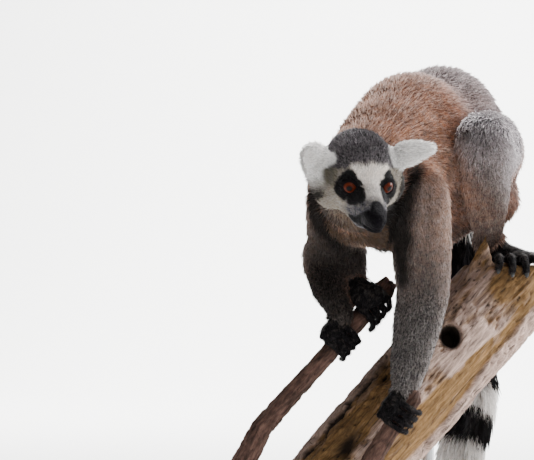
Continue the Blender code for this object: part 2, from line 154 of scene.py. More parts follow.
def spread(values, edges, passes):
    """Blends values over the surface: each point takes the mean of itself and its neighbours."""
    values = np.asarray(values, float)
    flat = values.reshape(len(values), -1)
    count = np.bincount(edges.ravel(), minlength=len(values)).astype(float)[:, None] + 1.0
    for _ in range(passes):
        total = flat.copy()
        for k in range(flat.shape[1]):
            total[:, k] += np.bincount(edges[:, 0], weights=flat[edges[:, 1], k], minlength=len(flat))
            total[:, k] += np.bincount(edges[:, 1], weights=flat[edges[:, 0], k], minlength=len(flat))
        flat = total / count
    return flat.reshape(values.shape)


def nearest_part(names):
    """A function that names the solid nearest to each point."""
    corners, triangles, owner = [], [], []
    for name in names:
        mesh = nodes[name].data
        first = len(corners)
        corners.extend(v.co.copy() for v in mesh.vertices)
        for polygon in mesh.polygons:
            triangles.append([first + i for i in polygon.vertices])
            owner.append(name)
    tree = BVHTree.FromPolygons(corners, triangles)

    def find(points):
        return np.array([owner[tree.find_nearest(Vector(p))[2]] for p in points])
    return find


part_at = nearest_part(FLESH)

# The head's own frame: x to its left, -y ahead, z up, origin midway between the pupils.
HEAD_YAW, HEAD_PITCH = math.radians(41), math.radians(25)
PUPILS_AHEAD = 8.5 * MM                                # from the eyeballs' centres to the pupils
eye_centres = {side: sum(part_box(f"eye_{side}"), Vector()) / 2 for side in ("left", "right")}
HEAD = (Matrix.Translation((eye_centres["left"] + eye_centres["right"]) / 2)
        @ Matrix.Rotation(HEAD_YAW, 4, "Z") @ Matrix.Rotation(HEAD_PITCH, 4, "X")
        @ Matrix.Translation((0, -PUPILS_AHEAD, 0)))


def in_head(x, y, z):
    return HEAD @ (Vector((x, y, z)) * MM)


def head_coordinates(points):
    """Points in the head's frame, in millimetres."""
    back = np.array(HEAD.inverted())
    return (points @ back[:3, :3].T + back[:3, 3]) / MM


def ramp(value, low, high):
    """0 below low, 1 above high, smooth between."""
    t = np.clip((value - low) / (high - low), 0, 1)
    return t * t * (3 - 2 * t)


def fall(value, low, high):
    """1 below low, 0 above high, smooth between."""
    return 1 - ramp(value, low, high)


def far(points, place_at):
    return np.linalg.norm(points - place_at, axis=1)


def beside(points, a, b):
    """How far along the line from a to b each point is, from 0 to 1, and the nearest point of the line."""
    a, b = np.array(a, float), np.array(b, float)
    share = np.clip((points - a) @ (b - a) / ((b - a) @ (b - a)), 0, 1)
    return share, a + share[:, None] * (b - a)


# Each ear as a row of tapered rounds in the head's frame: x, y, z and radius. It is flattened front to back.
EARS = {"left": ((35, 27, 18, 11.2), (46, 25.5, 23.5, 9.2), (56, 23, 27, 5.8)),
        "right": ((-36, 25, 16.5, 8.5), (-45.5, 26.5, 17.8, 12.2), (-44, 20, 4, 7.0), (-40, 13, -10, 4.0))}
EAR_FLATNESS = 0.68


def rounds(bm, points, radii):
    """A row of tapered rounds from point to point, with a ball at each point. Radii in millimetres."""
    for centre, radius in zip(points, radii):
        bmesh.ops.create_icosphere(bm, subdivisions=2, radius=radius * MM, matrix=Matrix.Translation(centre))
    for a, b, ra, rb in zip(points, points[1:], radii, radii[1:]):
        stand = Matrix.Translation((a + b) / 2) @ (b - a).to_track_quat("Z", "Y").to_matrix().to_4x4()
        bmesh.ops.create_cone(bm, cap_ends=True, segments=14, radius1=ra * MM, radius2=rb * MM,
                              depth=(b - a).length, matrix=stand)


def add_ear(bm, side, sign):
    ear = bmesh.new()
    rounds(ear, [in_head(x, y, z) for x, y, z, _ in EARS[side]], [radius for *_, radius in EARS[side]])
    thin_way = HEAD.to_3x3() @ Vector((sign * 0.45, 0.89, 0))
    centre = in_head(*EARS[side][1][:3])
    flatten = (Matrix.Translation(centre) @ Matrix.Scale(EAR_FLATNESS, 4, thin_way)
               @ Matrix.Translation(-centre))
    bmesh.ops.transform(ear, verts=ear.verts, matrix=flatten)
    mesh = bpy.data.meshes.new("ear")
    ear.to_mesh(mesh)
    ear.free()
    bm.from_mesh(mesh)


def bare_body():
    """Every part but the paws, melted together, rounded over and drawn in by the depth of its coat."""
    bm = merged([name for name in FURRED if kind(name) != "ear"])
    add_ear(bm, "left", 1)
    add_ear(bm, "right", -1)
    for centre in eye_centres.values():
        bmesh.ops.create_icosphere(bm, subdivisions=3, radius=SOCKET_FILL, matrix=Matrix.Translation(centre))
    body = melt(shaped("body", bm), BODY_GRAIN, 4)
    co = points_of(body.data)
    part = part_at(co)
    kinds = np.array([kind(name) for name in part])
    edges = edges_of(body.data)
    limbs = spread(~np.isin(kinds, ("head", "muzzle", "ear")) * 1.0, edges, 4)[:, None]
    trunk = spread(np.isin(kinds, ("chest", "back", "rump")) * 1.0, edges, 12)[:, None]
    rounded = co * (1 - limbs) + spread(co, edges, 14) * limbs           # the joints between parts
    rounded = rounded * (1 - trunk) + spread(rounded, edges, 60) * trunk
    place(body.data, rounded)
    normal = normals_of(body.data)
    lost = np.sum((co - rounded) * normal, axis=1)                       # the bulk that the rounding took
    co = rounded + normal * spread(lost, edges, 50)[:, None]
    place(body.data, co)
    depth = np.array([COAT_DEPTH[name] for name in kinds])
    depth = spread(depth, edges, 12) * (1 - LIMBS_SPARED * limbs[:, 0]) - TRUNK_SPARED * trunk[:, 0]
    head = head_coordinates(co)
    is_head = np.isin(kinds, ("head", "muzzle"))
    face = is_head * fall(head[:, 1], 4, 22)
    depth = depth * (1 - face) + FACE_DEPTH * face
    place(body.data, co - normals_of(body.data) * depth[:, None] * MM)
    return body


body = bare_body()


# ---- The paws ----
# Long black fingers and toes shut round the wood, with swollen knuckles. They are one with the skin.
ARM_LEFT_WRIST, ARM_RIGHT_WRIST = Vector((0.045, -0.117, 0.268)), Vector((-0.015, -0.119, 0.333))
LEG_LEFT_ANKLE, LEG_RIGHT_ANKLE = Vector((0.054, 0.060, 0.398)), Vector((-0.019, -0.084, 0.358))
BRANCH = [Vector(p) for p in ((0.005, -0.064, 0.356), (-0.012, -0.105, 0.319), (-0.046, -0.137, 0.271))]
STAKE = [Vector(p) for p in ((0.054, -0.118, 0.261), (0.035, -0.122, 0.234))]
KNUCKLES = (0.04, 0.44, 0.76)                          # how far along a digit each knuckle is
digit_tips = []                                        # (tip, way ahead, outward side, radius) of each nail


def oval(bm, centre, radii, turn=None):
    shape = Matrix.Translation(centre) @ (turn.to_4x4() if turn else Matrix())
    bmesh.ops.create_icosphere(bm, subdivisions=3, radius=1.0, matrix=shape @ Matrix.Diagonal((*radii, 1.0)))


def digit(bm, start, way, axis, length, bend, radius, steps=14):
    """A finger that leaves start along way and curls by bend about axis, with knuckles and a padded tip."""
    points, radii = [start], [radius]
    for step in range(steps):
        turned = Matrix.Rotation(bend * (step + 0.5) / steps, 3, axis) @ way.normalized()
        points.append(points[-1] + turned * (length / steps))
        along = (step + 1) / steps
        swell = sum(math.exp(-((along - k) / 0.07) ** 2) for k in KNUCKLES)
        pad = math.exp(-((along - 0.95) / 0.08) ** 2)
        radii.append(radius * (0.86 - 0.26 * along + 0.14 * swell + 0.12 * pad))
    rounds(bm, points, radii)
    ahead = (points[-1] - points[-2]).normalized()
    outward = ahead.cross(axis).normalized()
    digit_tips.append((points[-1], ahead, outward, radii[-1] * MM))


def grip(bm, bar, bar_radius, palm_side, fingers, thumb, pitch):
    """Digits curled round a bar. fingers: (radius, lengths, start angle); thumb: also its shift along it."""
    point, way = bar
    out = (palm_side - way * palm_side.dot(way)).normalized()
    around = way.cross(out)

    def curl(radius, length, begin, shift, sense):
        reach = (bar_radius + radius + 0.2) * MM
        angle = math.radians(begin) * sense
        spoke = out * math.cos(angle) + around * math.sin(angle)
        heading = (around * math.cos(angle) - out * math.sin(angle)) * sense
        digit(bm, point + way * shift * MM + spoke * reach, heading, way * sense,
              length * MM, length * MM / reach, radius)

    radius, lengths, begin = fingers
    for i, length in enumerate(lengths):
        curl(radius, length, begin, (i - (len(lengths) - 1) / 2) * pitch, 1)
    radius, length, begin, shift = thumb
    curl(radius, length, begin, shift, -1)
    return out


def hold(path, link, share):
    return path[link].lerp(path[link + 1], share), (path[link] - path[link + 1]).normalized()


def hand(bm, wrist, bar, bar_radius, palm_side):
    out = grip(bm, bar, bar_radius, palm_side, (3.1, (36, 41, 42, 36), 14), (3.5, 26, 15, 10), 6.9)
    palm = bar[0] + out * (bar_radius + 5) * MM
    oval(bm, palm, (5.5 * MM, 12 * MM, 11.5 * MM), out.to_track_quat("X", "Z").to_matrix())
    rounds(bm, [wrist, wrist.lerp(palm, 0.5), palm], (8.5, 7.5, 7))
    for i in range(4):                                 # the tendons over the back of the hand
        knuckle = palm + bar[1] * (i - 1.5) * 7.0 * MM + out * 3.0 * MM
        rounds(bm, [wrist.lerp(palm, 0.4) + out * 5 * MM, knuckle], (2.2, 3.0))


def gripping_foot(bm, ankle, bar, bar_radius, palm_side):
    out = grip(bm, bar, bar_radius, palm_side, (3.7, (29, 34, 36, 32), 16), (4.6, 30, 15, 13), 8.8)
    sole = bar[0] + out * (bar_radius + 7) * MM
    oval(bm, sole, (8 * MM, 16 * MM, 14 * MM), out.to_track_quat("X", "Z").to_matrix())
    rounds(bm, [ankle, sole], (10.5, 10))
    rounds(bm, [ankle + (ankle - sole).normalized() * 12 * MM, ankle], (7.5, 9.5))


def standing_foot(bm, ankle, heel, toes_root, ahead):
    """A foot set on the broken top of the log, with its toes bent down over the edge."""
    across = ahead.cross(Vector((0, 0, 1))).normalized()
    instep = heel.lerp(toes_root, 0.5) + Vector((0, 0, 4 * MM))
    rounds(bm, [ankle, instep, toes_root], (11, 9, 8))
    rounds(bm, [heel, instep], (8, 8.5))
    oval(bm, toes_root, (13 * MM, 11 * MM, 7 * MM), Matrix((across, ahead, Vector((0, 0, 1)))).transposed())
    for shift, length in ((-9, 20), (1, 24), (11, 24), (21, 19)):
        splay = Matrix.Rotation(math.radians(-shift * 0.7), 3, "Z") @ ahead
        digit(bm, toes_root + across * shift * MM + splay * 4 * MM, splay + Vector((0, 0, 0.3)), -across,
              length * MM, math.radians(112), 4.8)
    inner = Matrix.Rotation(math.radians(35), 3, "Z") @ ahead
    digit(bm, toes_root - across * 14 * MM - ahead * 16 * MM, inner + Vector((0, 0, 0.1)), -across,
          26 * MM, math.radians(80), 5.8)


def whole_skin():
    """The body and the paws melted into one closed skin."""
    bm = bmesh.new()
    hand(bm, ARM_LEFT_WRIST, hold(STAKE, 0, 0.55), 9, Vector((-0.35, -0.62, 0.70)))
    hand(bm, ARM_RIGHT_WRIST, hold(BRANCH, 1, 0.2), 9.5, Vector((-0.20, -0.65, 0.65)))
    gripping_foot(bm, LEG_RIGHT_ANKLE, hold(BRANCH, 0, 0.5), 10, Vector((0.1, -0.8, 0.45)))
    standing_foot(bm, LEG_LEFT_ANKLE, Vector((0.046, 0.076, 0.3835)), Vector((0.091, 0.047, 0.3815)),
                  Vector((0.62, -0.78, 0.0)).normalized())
    bm.from_mesh(body.data)
    bpy.data.objects.remove(body)
    return melt(shaped("skin", bm), SKIN_GRAIN, 2)


skin = whole_skin()


ARM_FILL = 5 * MM


def fill_right_arm(skin):
    """The coat of the right forearm is fuller on its outer side."""
    co, out = points_of(skin.data), -TO_RIGHT
    facing = np.clip(normals_of(skin.data) @ out, 0, 1)
    arm = np.isin(part_at(co), ("upper_arm_right", "forearm_right"))
    height = ramp(co[:, 2], 0.334, 0.352) * fall(co[:, 2], 0.385, 0.403)
    push = height * facing * arm * ARM_FILL
    place(skin.data, co + out * spread(push, edges_of(skin.data), 8)[:, None])


fill_right_arm(skin)


# ---- The face ----
# Lids that close on the eyeballs, a moist nose pad with two nostrils, and the line of the mouth.
EYE_RADIUS = 9.0                                       # millimetres, as are the other sizes of the face
EYE_SIDE = 14.4                                        # from the middle of the head to an eyeball's centre
GAZE = Vector((3.4, -8.2, -0.6)).normalized()          # of the left eye, in the head's frame
LID_WIDTH, LID_HEIGHT = 39.0, 33.0                     # half the opening, in degrees round the eyeball
LID_THICKNESS, LID_SLOPE, LID_SINK = 1.1, 5.4, 1.6     # how far the lids stand out and how deep their rims go
CHIN_AT, CHIN_CUT = 24, 0.55                           # below this height that share of the chin is drawn up


def eye_angles(head, side):
    """The distance of each point from that eyeball's centre, and its place round it in degrees."""
    centre = np.array((side * EYE_SIDE, PUPILS_AHEAD / MM, 0.0))
    gaze = np.array((side * GAZE.x, GAZE.y, GAZE.z))
    level = np.cross(gaze, (0, 0, 1.0))
    level /= np.linalg.norm(level)
    up = np.cross(level, gaze)
    away = head - centre
    distance = np.linalg.norm(away, axis=1)
    ahead = away @ gaze
    across = np.degrees(np.arctan2(away @ level * -side, ahead))
    above = np.degrees(np.arctan2(away @ up, ahead))
    return away, distance, ahead, across, above


def groove(head, path, width, depth):
    """How deep each point sinks beside a line through the face."""
    nearest = np.full(len(head), 1e9)
    for a, b in zip(path, path[1:]):
        nearest = np.minimum(nearest, far(head, beside(head, a, b)[1]))
    return depth * np.exp(-(nearest / width) ** 2)


def shape_face(skin):
    """Works the lids, the nostrils, the mouth and the chin into the front of the head."""
    co = points_of(skin.data)
    head = head_coordinates(co)
    normal = normals_of(skin.data) @ np.array(HEAD.to_3x3())
    near = far(head, (0, 5, -5)) < 60
    for side in (-1, 1):
        away, distance, ahead, across, above = eye_angles(head, side)
        edge = np.sqrt((across / LID_WIDTH) ** 2 + (above / LID_HEIGHT) ** 2)
        lid = EYE_RADIUS + np.clip((edge - 1) * LID_SLOPE, -LID_SINK, LID_THICKNESS)
        hug = fall(edge, 1.15, 2.1)
        chosen = (ahead > 0) & (distance < 17) & near & (edge < 2.1)
        target = np.where(edge < 1.1, lid, np.maximum(distance * (1 - hug) + lid * hug, lid))
        head[chosen] = (head[chosen] - away[chosen]) + away[chosen] * (target / distance)[chosen, None]
    nostrils = sum(groove(head, [(s * 2.0, -41.5, -17.5), (s * 4.2, -40.5, -17.0), (s * 5.4, -38.0, -15.6)],
                          1.25, 2.0) for s in (-1, 1))
    philtrum = groove(head, [(0, -43, -16), (0, -42, -22)], 0.8, 0.9)
    mouth = sum(groove(head, [(0, -40, -23.5), (s * 6, -35, -24), (s * 10, -22, -24.5), (s * 12.5, -8, -26),
                              (s * 14, 3, -28)], 1.1, 1.5) for s in (-1, 1))
    low = fall(head[:, 1], -16, 2) * ramp(-head[:, 2], CHIN_AT, CHIN_AT + 8)
    head[:, 2] += low * near * (-head[:, 2] - CHIN_AT) * CHIN_CUT
    sunk = (nostrils + philtrum + mouth) * near
    head = head - normal * sunk[:, None]
    from_head = np.array(HEAD)
    moved = (head * MM) @ from_head[:3, :3].T + from_head[:3, 3]
    place(skin.data, np.where(near[:, None], moved, co))


shape_face(skin)


def thin_body(skin):
    """Fewer, larger triangles under the coat. The face and the paws keep the fine grain."""
    part = part_at(points_of(skin.data))
    group = skin.vertex_groups.new(name="coarse")
    coarse = [int(i) for i in np.flatnonzero(~np.isin(
        part, [name for name in FLESH if kind(name) in ("head", "muzzle", "hand", "foot")]))]
    group.add(coarse, 1.0, "REPLACE")
    thin = skin.modifiers.new("thin", "DECIMATE")
    thin.ratio = 0.42
    thin.vertex_group = "coarse"
    thin.vertex_group_factor = 1.0
    plain(skin)
    skin.vertex_groups.clear()


thin_body(skin)


# ---- The markings ----
# Painted shade darkens the neck, the throat, the chin, the creases, the far arm and leg and the sides turned
# from the light; painted highlights pale the sides turned to it.
# Rufous back, grey rump and limbs, cream belly, dark ruff, white face with black eye patches, ringed tail.
# They are worked out for every point of the skin, and each tuft takes the colour of its root.
RUFOUS, BACK_TOP, FLANK = (0.37, 0.208, 0.144), (0.35, 0.228, 0.180), (0.33, 0.185, 0.13)
# The pale grey is a painted highlight on the legs, and the shank's brown is darkened by painted shade.
GREY, PAINTED_HIGHLIGHT_GREY, SHANK = (0.29, 0.258, 0.265), (0.52, 0.485, 0.495), (0.155, 0.112, 0.094)
# The shaded arm colour is painted shade on the far arm and the far shank.
FOREARM, UPPER_ARM, PAINTED_LIMB_SHADE = (0.145, 0.130, 0.124), (0.26, 0.185, 0.155), (0.060, 0.048, 0.042)
# The ruff's near-black is also laid on as painted shade in the creases and under the head and body, and the
# throat's brown is darkened by painted shade.
BELLY, THROAT_IN_SHADE, RUFF_AND_SHADE = (0.50, 0.44, 0.38), (0.085, 0.055, 0.036), (0.010, 0.008, 0.007)
CREAM, FOREHEAD, EAR_WHITE = (0.36, 0.32, 0.27), (0.90, 0.82, 0.75), (0.95, 0.93, 0.91)
JOWL = (0.18, 0.135, 0.105)
# The temple colour is painted shade below the right ear.
CAP, SHADE_UNDER_EAR, MUZZLE_GREY = (0.092, 0.081, 0.087), (0.11, 0.098, 0.072), (0.085, 0.082, 0.095)
TAIL_WHITE, BLACK, NOSE = (0.74, 0.72, 0.70), (0.008, 0.007, 0.008), (0.007, 0.006, 0.008)
PAW, PAW_FLECK = (0.008, 0.007, 0.008), (0.065, 0.055, 0.050)
TAIL = [Vector(p) for p in (
    (-0.002, 0.128, 0.478), (-0.006, 0.168, 0.468), (-0.016, 0.190, 0.430), (-0.019, 0.184, 0.375),
    (-0.011, 0.173, 0.315), (0.003, 0.156, 0.255), (-0.002, 0.139, 0.205), (-0.007, 0.133, 0.155),
    (-0.010, 0.142, 0.110), (-0.012, 0.170, 0.078), (-0.012, 0.210, 0.076), (-0.010, 0.244, 0.098))]
FIRST_RING = 45                                        # millimetres from the root, where the rings begin
# The first black ring is drawn long, painted shade over a white ring where the tail leaves the body.
RINGS = (41, 18, 52, 26, 24, 24, 26, 23, 31, 25, 30, 25, 30, 25, 30, 25)     # black, white, ... to the tip


LATTICE = 32                                           # points along each edge of the noise's block


def lattice(points, size, seed):
    """Smooth noise between -1 and 1 in space, with features of about that size."""
    grid = np.random.default_rng(seed).uniform(-1, 1, (LATTICE,) * 3)
    at = np.asarray(points) / size
    cell = np.floor(at).astype(int)
    t = at - cell
    t = t * t * (3 - 2 * t)
    total = np.zeros(len(at))
    for dx in (0, 1):
        for dy in (0, 1):
            for dz in (0, 1):
                weight = ((t[:, 0] if dx else 1 - t[:, 0]) * (t[:, 1] if dy else 1 - t[:, 1])
                          * (t[:, 2] if dz else 1 - t[:, 2]))
                total += weight * grid[tuple(((cell + (dx, dy, dz)) % LATTICE).T)]
    return total


def mixed(base, colour, share):
    """Lays a colour over the base colours, as strongly as share."""
    return base * (1 - share[:, None]) + np.array(colour) * share[:, None]


def layered(base, *layers):
    """Lays one colour after another over the base colours: (colour, share)."""
    for colour, share in layers:
        base = mixed(base, colour, share)
    return base


def follow(points, path):
    """How far along a path each point is, and the nearest point and direction of the path there."""
    best, where, run = np.full(len(points), 1e9), np.zeros(len(points)), 0.0
    axis, way = np.zeros((len(points), 3)), np.zeros((len(points), 3))
    for a, b in zip(path, path[1:]):
        length = (b - a).length
        share, nearest = beside(points, a, b)
        distance = far(points, nearest)
        closer = distance < best
        best[closer], where[closer] = distance[closer], (run + share * length)[closer]
        axis[closer], way[closer] = nearest[closer], (b - a) / length
        run += length
    return where, axis, way


def band(value, low, high, soft):
    """1 between low and high, falling to 0 over soft beyond them."""
    return ramp(value, low - soft, low) * fall(value, high, high + soft)


def blot(points, *paths):
    """How far each point is outside rows of tapered rounds: (x, y, z, radius) in millimetres."""
    outside = np.full(len(points), 1e9)
    for path in paths:
        for (*a, first), (*b, last) in zip(path, path[1:]):
            share, nearest = beside(points, a, b)
            outside = np.minimum(outside, far(points, nearest) - (first + share * (last - first)))
    return outside


# Rows of tapered rounds on the left half of the face, in the head's frame: x, y, z and radius.
EYE_PATCH = (((19, 2.5, -0.5, 11.6), (18, 3.5, 6.8, 7.8), (17.6, 5, 10.6, 3.4)),
             ((14.5, -3, 0, 9.4), (12.5, -8, -1.5, 6.6), (11, -13.5, -4, 4.6)),
             ((19.5, 1.5, -4, 9.6), (18.5, 0.5, -7.2, 6.6), (15, -3, -8.8, 5.2)),
             ((14, -8, -7.6, 4.8), (15.5, -4, -9.4, 4.2)))
NOSE_PAD = ((0, -26.5, -5.5, 5.4), (0, -32, -10, 7.6), (0, -38, -16, 9), (0, -33, -24, 8), (0, -26, -29, 7))
LIPS = ((6, -30, -15, 7.2), (8.5, -26, -18, 6.5), (10, -20, -22.5, 6.5), (12.5, -10, -27, 4.6),
        (14, 4, -29.5, 2.8))


def face_markings(head):
    """The cap, the pale face, the black eye patches, the grey muzzle and the black nose and lips, with
    painted shade below the right ear, behind the cheeks and under the chin.
    """
    x, y, z = np.abs(head[:, 0]), head[:, 1], head[:, 2]
    folded = np.column_stack((x, y, z))
    ragged = lattice(head, 2.6, 5) + lattice(head, 1.3, 6) * 0.6
    brow = 19.3 - 0.008 * x ** 2 + 0.5 * np.cos(x / 2.9) - ramp(x, 13.5, 24) * 5
    cap = ramp(z + ragged * 0.9 - brow, -1.4, 1.4) * (1 - ramp(x - 32 + ragged, -3, 3) * fall(z, 6, 14))
    cap *= 1 - (head[:, 0] > 0) * ramp(x, 25, 29) * fall(z, 12, 17)
    behind = ramp(y + ragged, 26, 36) * ramp(z, -6, 8)
    # Painted shade below the right ear, between it and the eye patch.
    shade_under_ear = ramp(y, 8, 15) * band(z + 2 * ragged, -2, 14, 6) * ramp(x, 22, 27) * (head[:, 0] < 0)
    # The dark neck behind the cheeks, partly dark fur and partly painted shade.
    flank_of_head = ramp(x + 1.5 * ragged, 31.5, 34.5) * fall(z, -12, -4) + ramp(y, 40, 46) * ramp(-z, 2, 8)
    behind_cheek = ramp(head[:, 0] + 1.5 * ragged - 31.0 - 0.30 * z, 0, 2.5) * fall(z, 6, 12)
    side = fall(y + ragged, -10, 1) * ramp(x, 4.0, 8) * ramp(-z, -6, 2)
    below = fall(y, 4, 12) * fall(x, 15, 21) * ramp(-z, 6, 12)
    beside_nose = np.clip(side + below, 0, 1) * np.clip(0.86 + 0.30 * ragged, 0, 1)
    bridge = fall(y, -10, -3) * (0.42 + 0.48 * fall(y, -25, -13)) * np.clip(0.9 + 0.3 * ragged, 0, 1)
    return layered(
        np.array([CREAM]),
        (FOREHEAD, fall(x + ragged, 15, 20) * ramp(z, -8, 2) * 0.95),
        (SHADE_UNDER_EAR, shade_under_ear * 0.85),
        (CAP, np.maximum(cap, behind)),
        (RUFF_AND_SHADE, np.clip(flank_of_head, 0, 1) * 0.9),
        (RUFF_AND_SHADE, behind_cheek * 0.95),
        (EAR_WHITE, fall(blot(head, *EARS.values()) + ragged, 1.0, 4.5) * ramp(z, -12, 4)),
        (MUZZLE_GREY, np.maximum(beside_nose, bridge)),
        (BLACK, fall(blot(folded, *EYE_PATCH) + ragged * 0.8, -0.6, 1.0)),
        # Painted shade under the chin, in the nose's black.
        (NOSE, fall(y + ragged, -9, -3) * ramp(-z, 21, 24)),
        (NOSE, fall(blot(folded, NOSE_PAD, LIPS) + ragged * 0.35, -0.3, 0.6)))


# The dark collar, partly painted shade, and the painted shade in the armpit and the crease of the thigh, as
# rows of tapered rounds in the whole body: x, y, z and radius in millimetres.
COLLAR_AND_SHADE = (((47, -106, 462, 5), (43, -112, 430, 8), (36, -107, 402, 11), (27, -92, 372, 11)),
          ((-52, -104, 462, 10), (-44, -112, 438, 14), (-32, -108, 412, 13), (-22, -92, 388, 9)))
ARMPIT = ((55, -42, 466, 5), (54, -36, 452, 7), (50, -30, 438, 7))
THIGH_CREASE = ((76, -38, 478, 3), (79, -38, 491, 4), (86, -37, 502, 4), (97, -28, 507, 3))


def body_colours(points, normals, part, of, drift):
    """The trunk, the arms and the legs, with painted highlights and painted shade, before their colours run
    into one another.
    """
    x, y, z = points.T
    up = normals[:, 2]
    trunk, arm, leg = of("chest", "back", "rump", "neck"), of("upper_arm", "forearm", "hand"), of("thigh",
                                                                                                  "shank")
    belly = trunk * ramp(0.2 * drift - up, 0.6, 0.95) * fall(z, 0.39, 0.41) * (x < 0.005)
    # Painted shade on the far arm, lighter on its outer side.
    arm_in_painted_shade = arm * (x < 0.012) * fall(z + 0.006 * drift, 0.41, 0.45)
    colour = layered(
        np.array([FLANK]),
        (RUFOUS, ramp(up + 0.25 * drift, -0.5, 0.3)),
        (BACK_TOP, trunk * ramp(up + 0.3 * drift, 0.5, 1.0) * 0.75),
        (GREY, trunk * ramp(y + 0.6 * (z - 0.50) + 0.02 * drift, -0.025, 0.09) * 0.9),
        (BELLY, belly),
        (UPPER_ARM, of("upper_arm") * fall(z + 0.006 * drift, 0.44, 0.47)),
        (FOREARM, arm * fall(z + 0.01 * drift, 0.335, 0.415)),
        (PAINTED_LIMB_SHADE, arm_in_painted_shade * (1 - 0.5 * ramp(-normals[:, 0], 0.5, 0.95))))
    # Painted light on the near arm: paler on the side turned to the light at the right, with painted shade
    # about the elbow on the side turned from it.
    lit = of("forearm", "upper_arm") * (x > 0.02)
    to_side = normals @ TO_RIGHT + 0.15 * drift
    dim = 0.30 * lit * fall(to_side, 0.1, 0.5) * ramp(z, 0.35, 0.365) * fall(z, 0.39, 0.41)
    colour = colour * ((1 + 0.55 * lit * ramp(to_side, 0.35, 0.85) * fall(z, 0.44, 0.46)) * (1 - dim))[:,
                                                                                                       None]
    # The shank's own brown, darkened as painted shade; on the right shank it lies only on the side turned to
    # the camera.
    seen = np.where(part == "shank_right", ramp(normals @ TO_CAMERA, -0.2, 0.3), 1.0)
    # Painted highlight on the sides of the legs turned to the lights at the back right, and on top of the
    # thigh.
    outer = leg * ramp(normals @ (0.75, 0.66, -0.2) + 0.3 * drift, 0.3, 0.9)
    inner = leg * (x > 0.03) * fall(x + 0.004 * drift, 0.066, 0.080)
    colour = layered(
        colour,
        (GREY, leg * 1.0),
        (SHANK, of("shank") * fall(z + 0.006 * drift, 0.445, 0.495) * seen),
        (PAINTED_HIGHLIGHT_GREY, outer * 0.6 * ramp(z, 0.42, 0.46)),
        (PAINTED_HIGHLIGHT_GREY, of("thigh") * ramp(up, 0.7, 0.95)),
        (FLANK, inner * fall(z, 0.48, 0.50) * ramp(z, 0.41, 0.44) * 0.75),
        # Painted shade on the low side of the trunk, between the near arm and leg.
        (RUFF_AND_SHADE, trunk * (x > 0.02) * fall(z + 0.006 * drift, 0.40, 0.425) * 0.8),
        # Painted shade on the far shank.
        (PAINTED_LIMB_SHADE, (part == "shank_right") * 0.95 * fall(z + 0.01 * drift, 0.415, 0.45)))
    # Painted shade in the folds of the near leg and of the upper arms about the elbow.
    fold_shade_reach = leg * ramp(x, 0.03, 0.06) + of("upper_arm") * band(z, 0.36, 0.39, 0.015)
    folds = ramp(lattice(points * (1, 1, 2.6) + 0.3 * points[:, [2, 0, 1]], 8 * MM, 14), 0.30, 0.62)
    return colour * (1 - 0.55 * folds * np.clip(fold_shade_reach, 0, 1))[:, None]


def neck_colours(colour, points, normals, of, head, drift):
    """The ruff, the jowl and the throat, with painted shade under the head and the chin, in the armpit, in
    the crease of the thigh and inside the arm, laid over the colours of the body.
    """
    x, _, z = points.T
    body, front_parts = points / MM, of("neck", "chest")
    forward = ramp(normals @ TO_CAMERA, 0.15, 0.50)
    # The collar on the sides turned to the camera, partly dark fur and partly painted shade, and painted
    # shade on the neck under the head.
    ruff = np.maximum(forward * fall(blot(body, *COLLAR_AND_SHADE) + 3 * drift, -3, 8),
                      fall(far(head, (0, 30, -30)) + 4 * drift, 40, 54))
    jowl = ramp(head[:, 2] + 1.04 * (head[:, 0] + 35.4) + 21.5 + 4 * drift, -2, 5)
    front = normals @ (TO_CAMERA - (0, 0, 0.1))
    # Painted shade under the chin, and on the throat between the arms.
    below_chin = front_parts * ramp(x + 0.003 * drift, 0.012, 0.02) * ramp(front, 0, 0.3)
    throat = front_parts * ramp(front, 0.1, 0.5) * fall(z + 0.004 * drift, 0.412, 0.426)
    # Painted shade in the armpit and the crease of the thigh, and on the inside of the near upper arm over
    # its dark fur.
    armpit = fall(blot(body, ARMPIT) + 3 * drift, -2, 8)
    crease = fall(blot(body, THIGH_CREASE) + 3 * drift, -1, 7)
    medial = of("upper_arm") * (x > 0) * ramp(-normals[:, 0] + 0.2 * drift, 0.4, 0.9) * ramp(z, 0.365, 0.40)
    return layered(
        colour,
        (RUFF_AND_SHADE, ruff * of("neck", "chest", "upper_arm") * 0.97),
        (JOWL, jowl * of("neck") * fall(head[:, 0] + 3 * drift, 2, 9) * (head[:, 1] < 60)),
        (RUFF_AND_SHADE, below_chin * fall(z, 0.43, 0.45) * 0.95),
        (THROAT_IN_SHADE, throat * (x > -0.03) * (x < 0.022)),
        (RUFF_AND_SHADE, armpit * of("chest", "back", "rump", "neck") * 0.45),
        (RUFF_AND_SHADE, crease * of("thigh", "rump", "back") * 0.3),
        (RUFF_AND_SHADE, medial * 0.85))


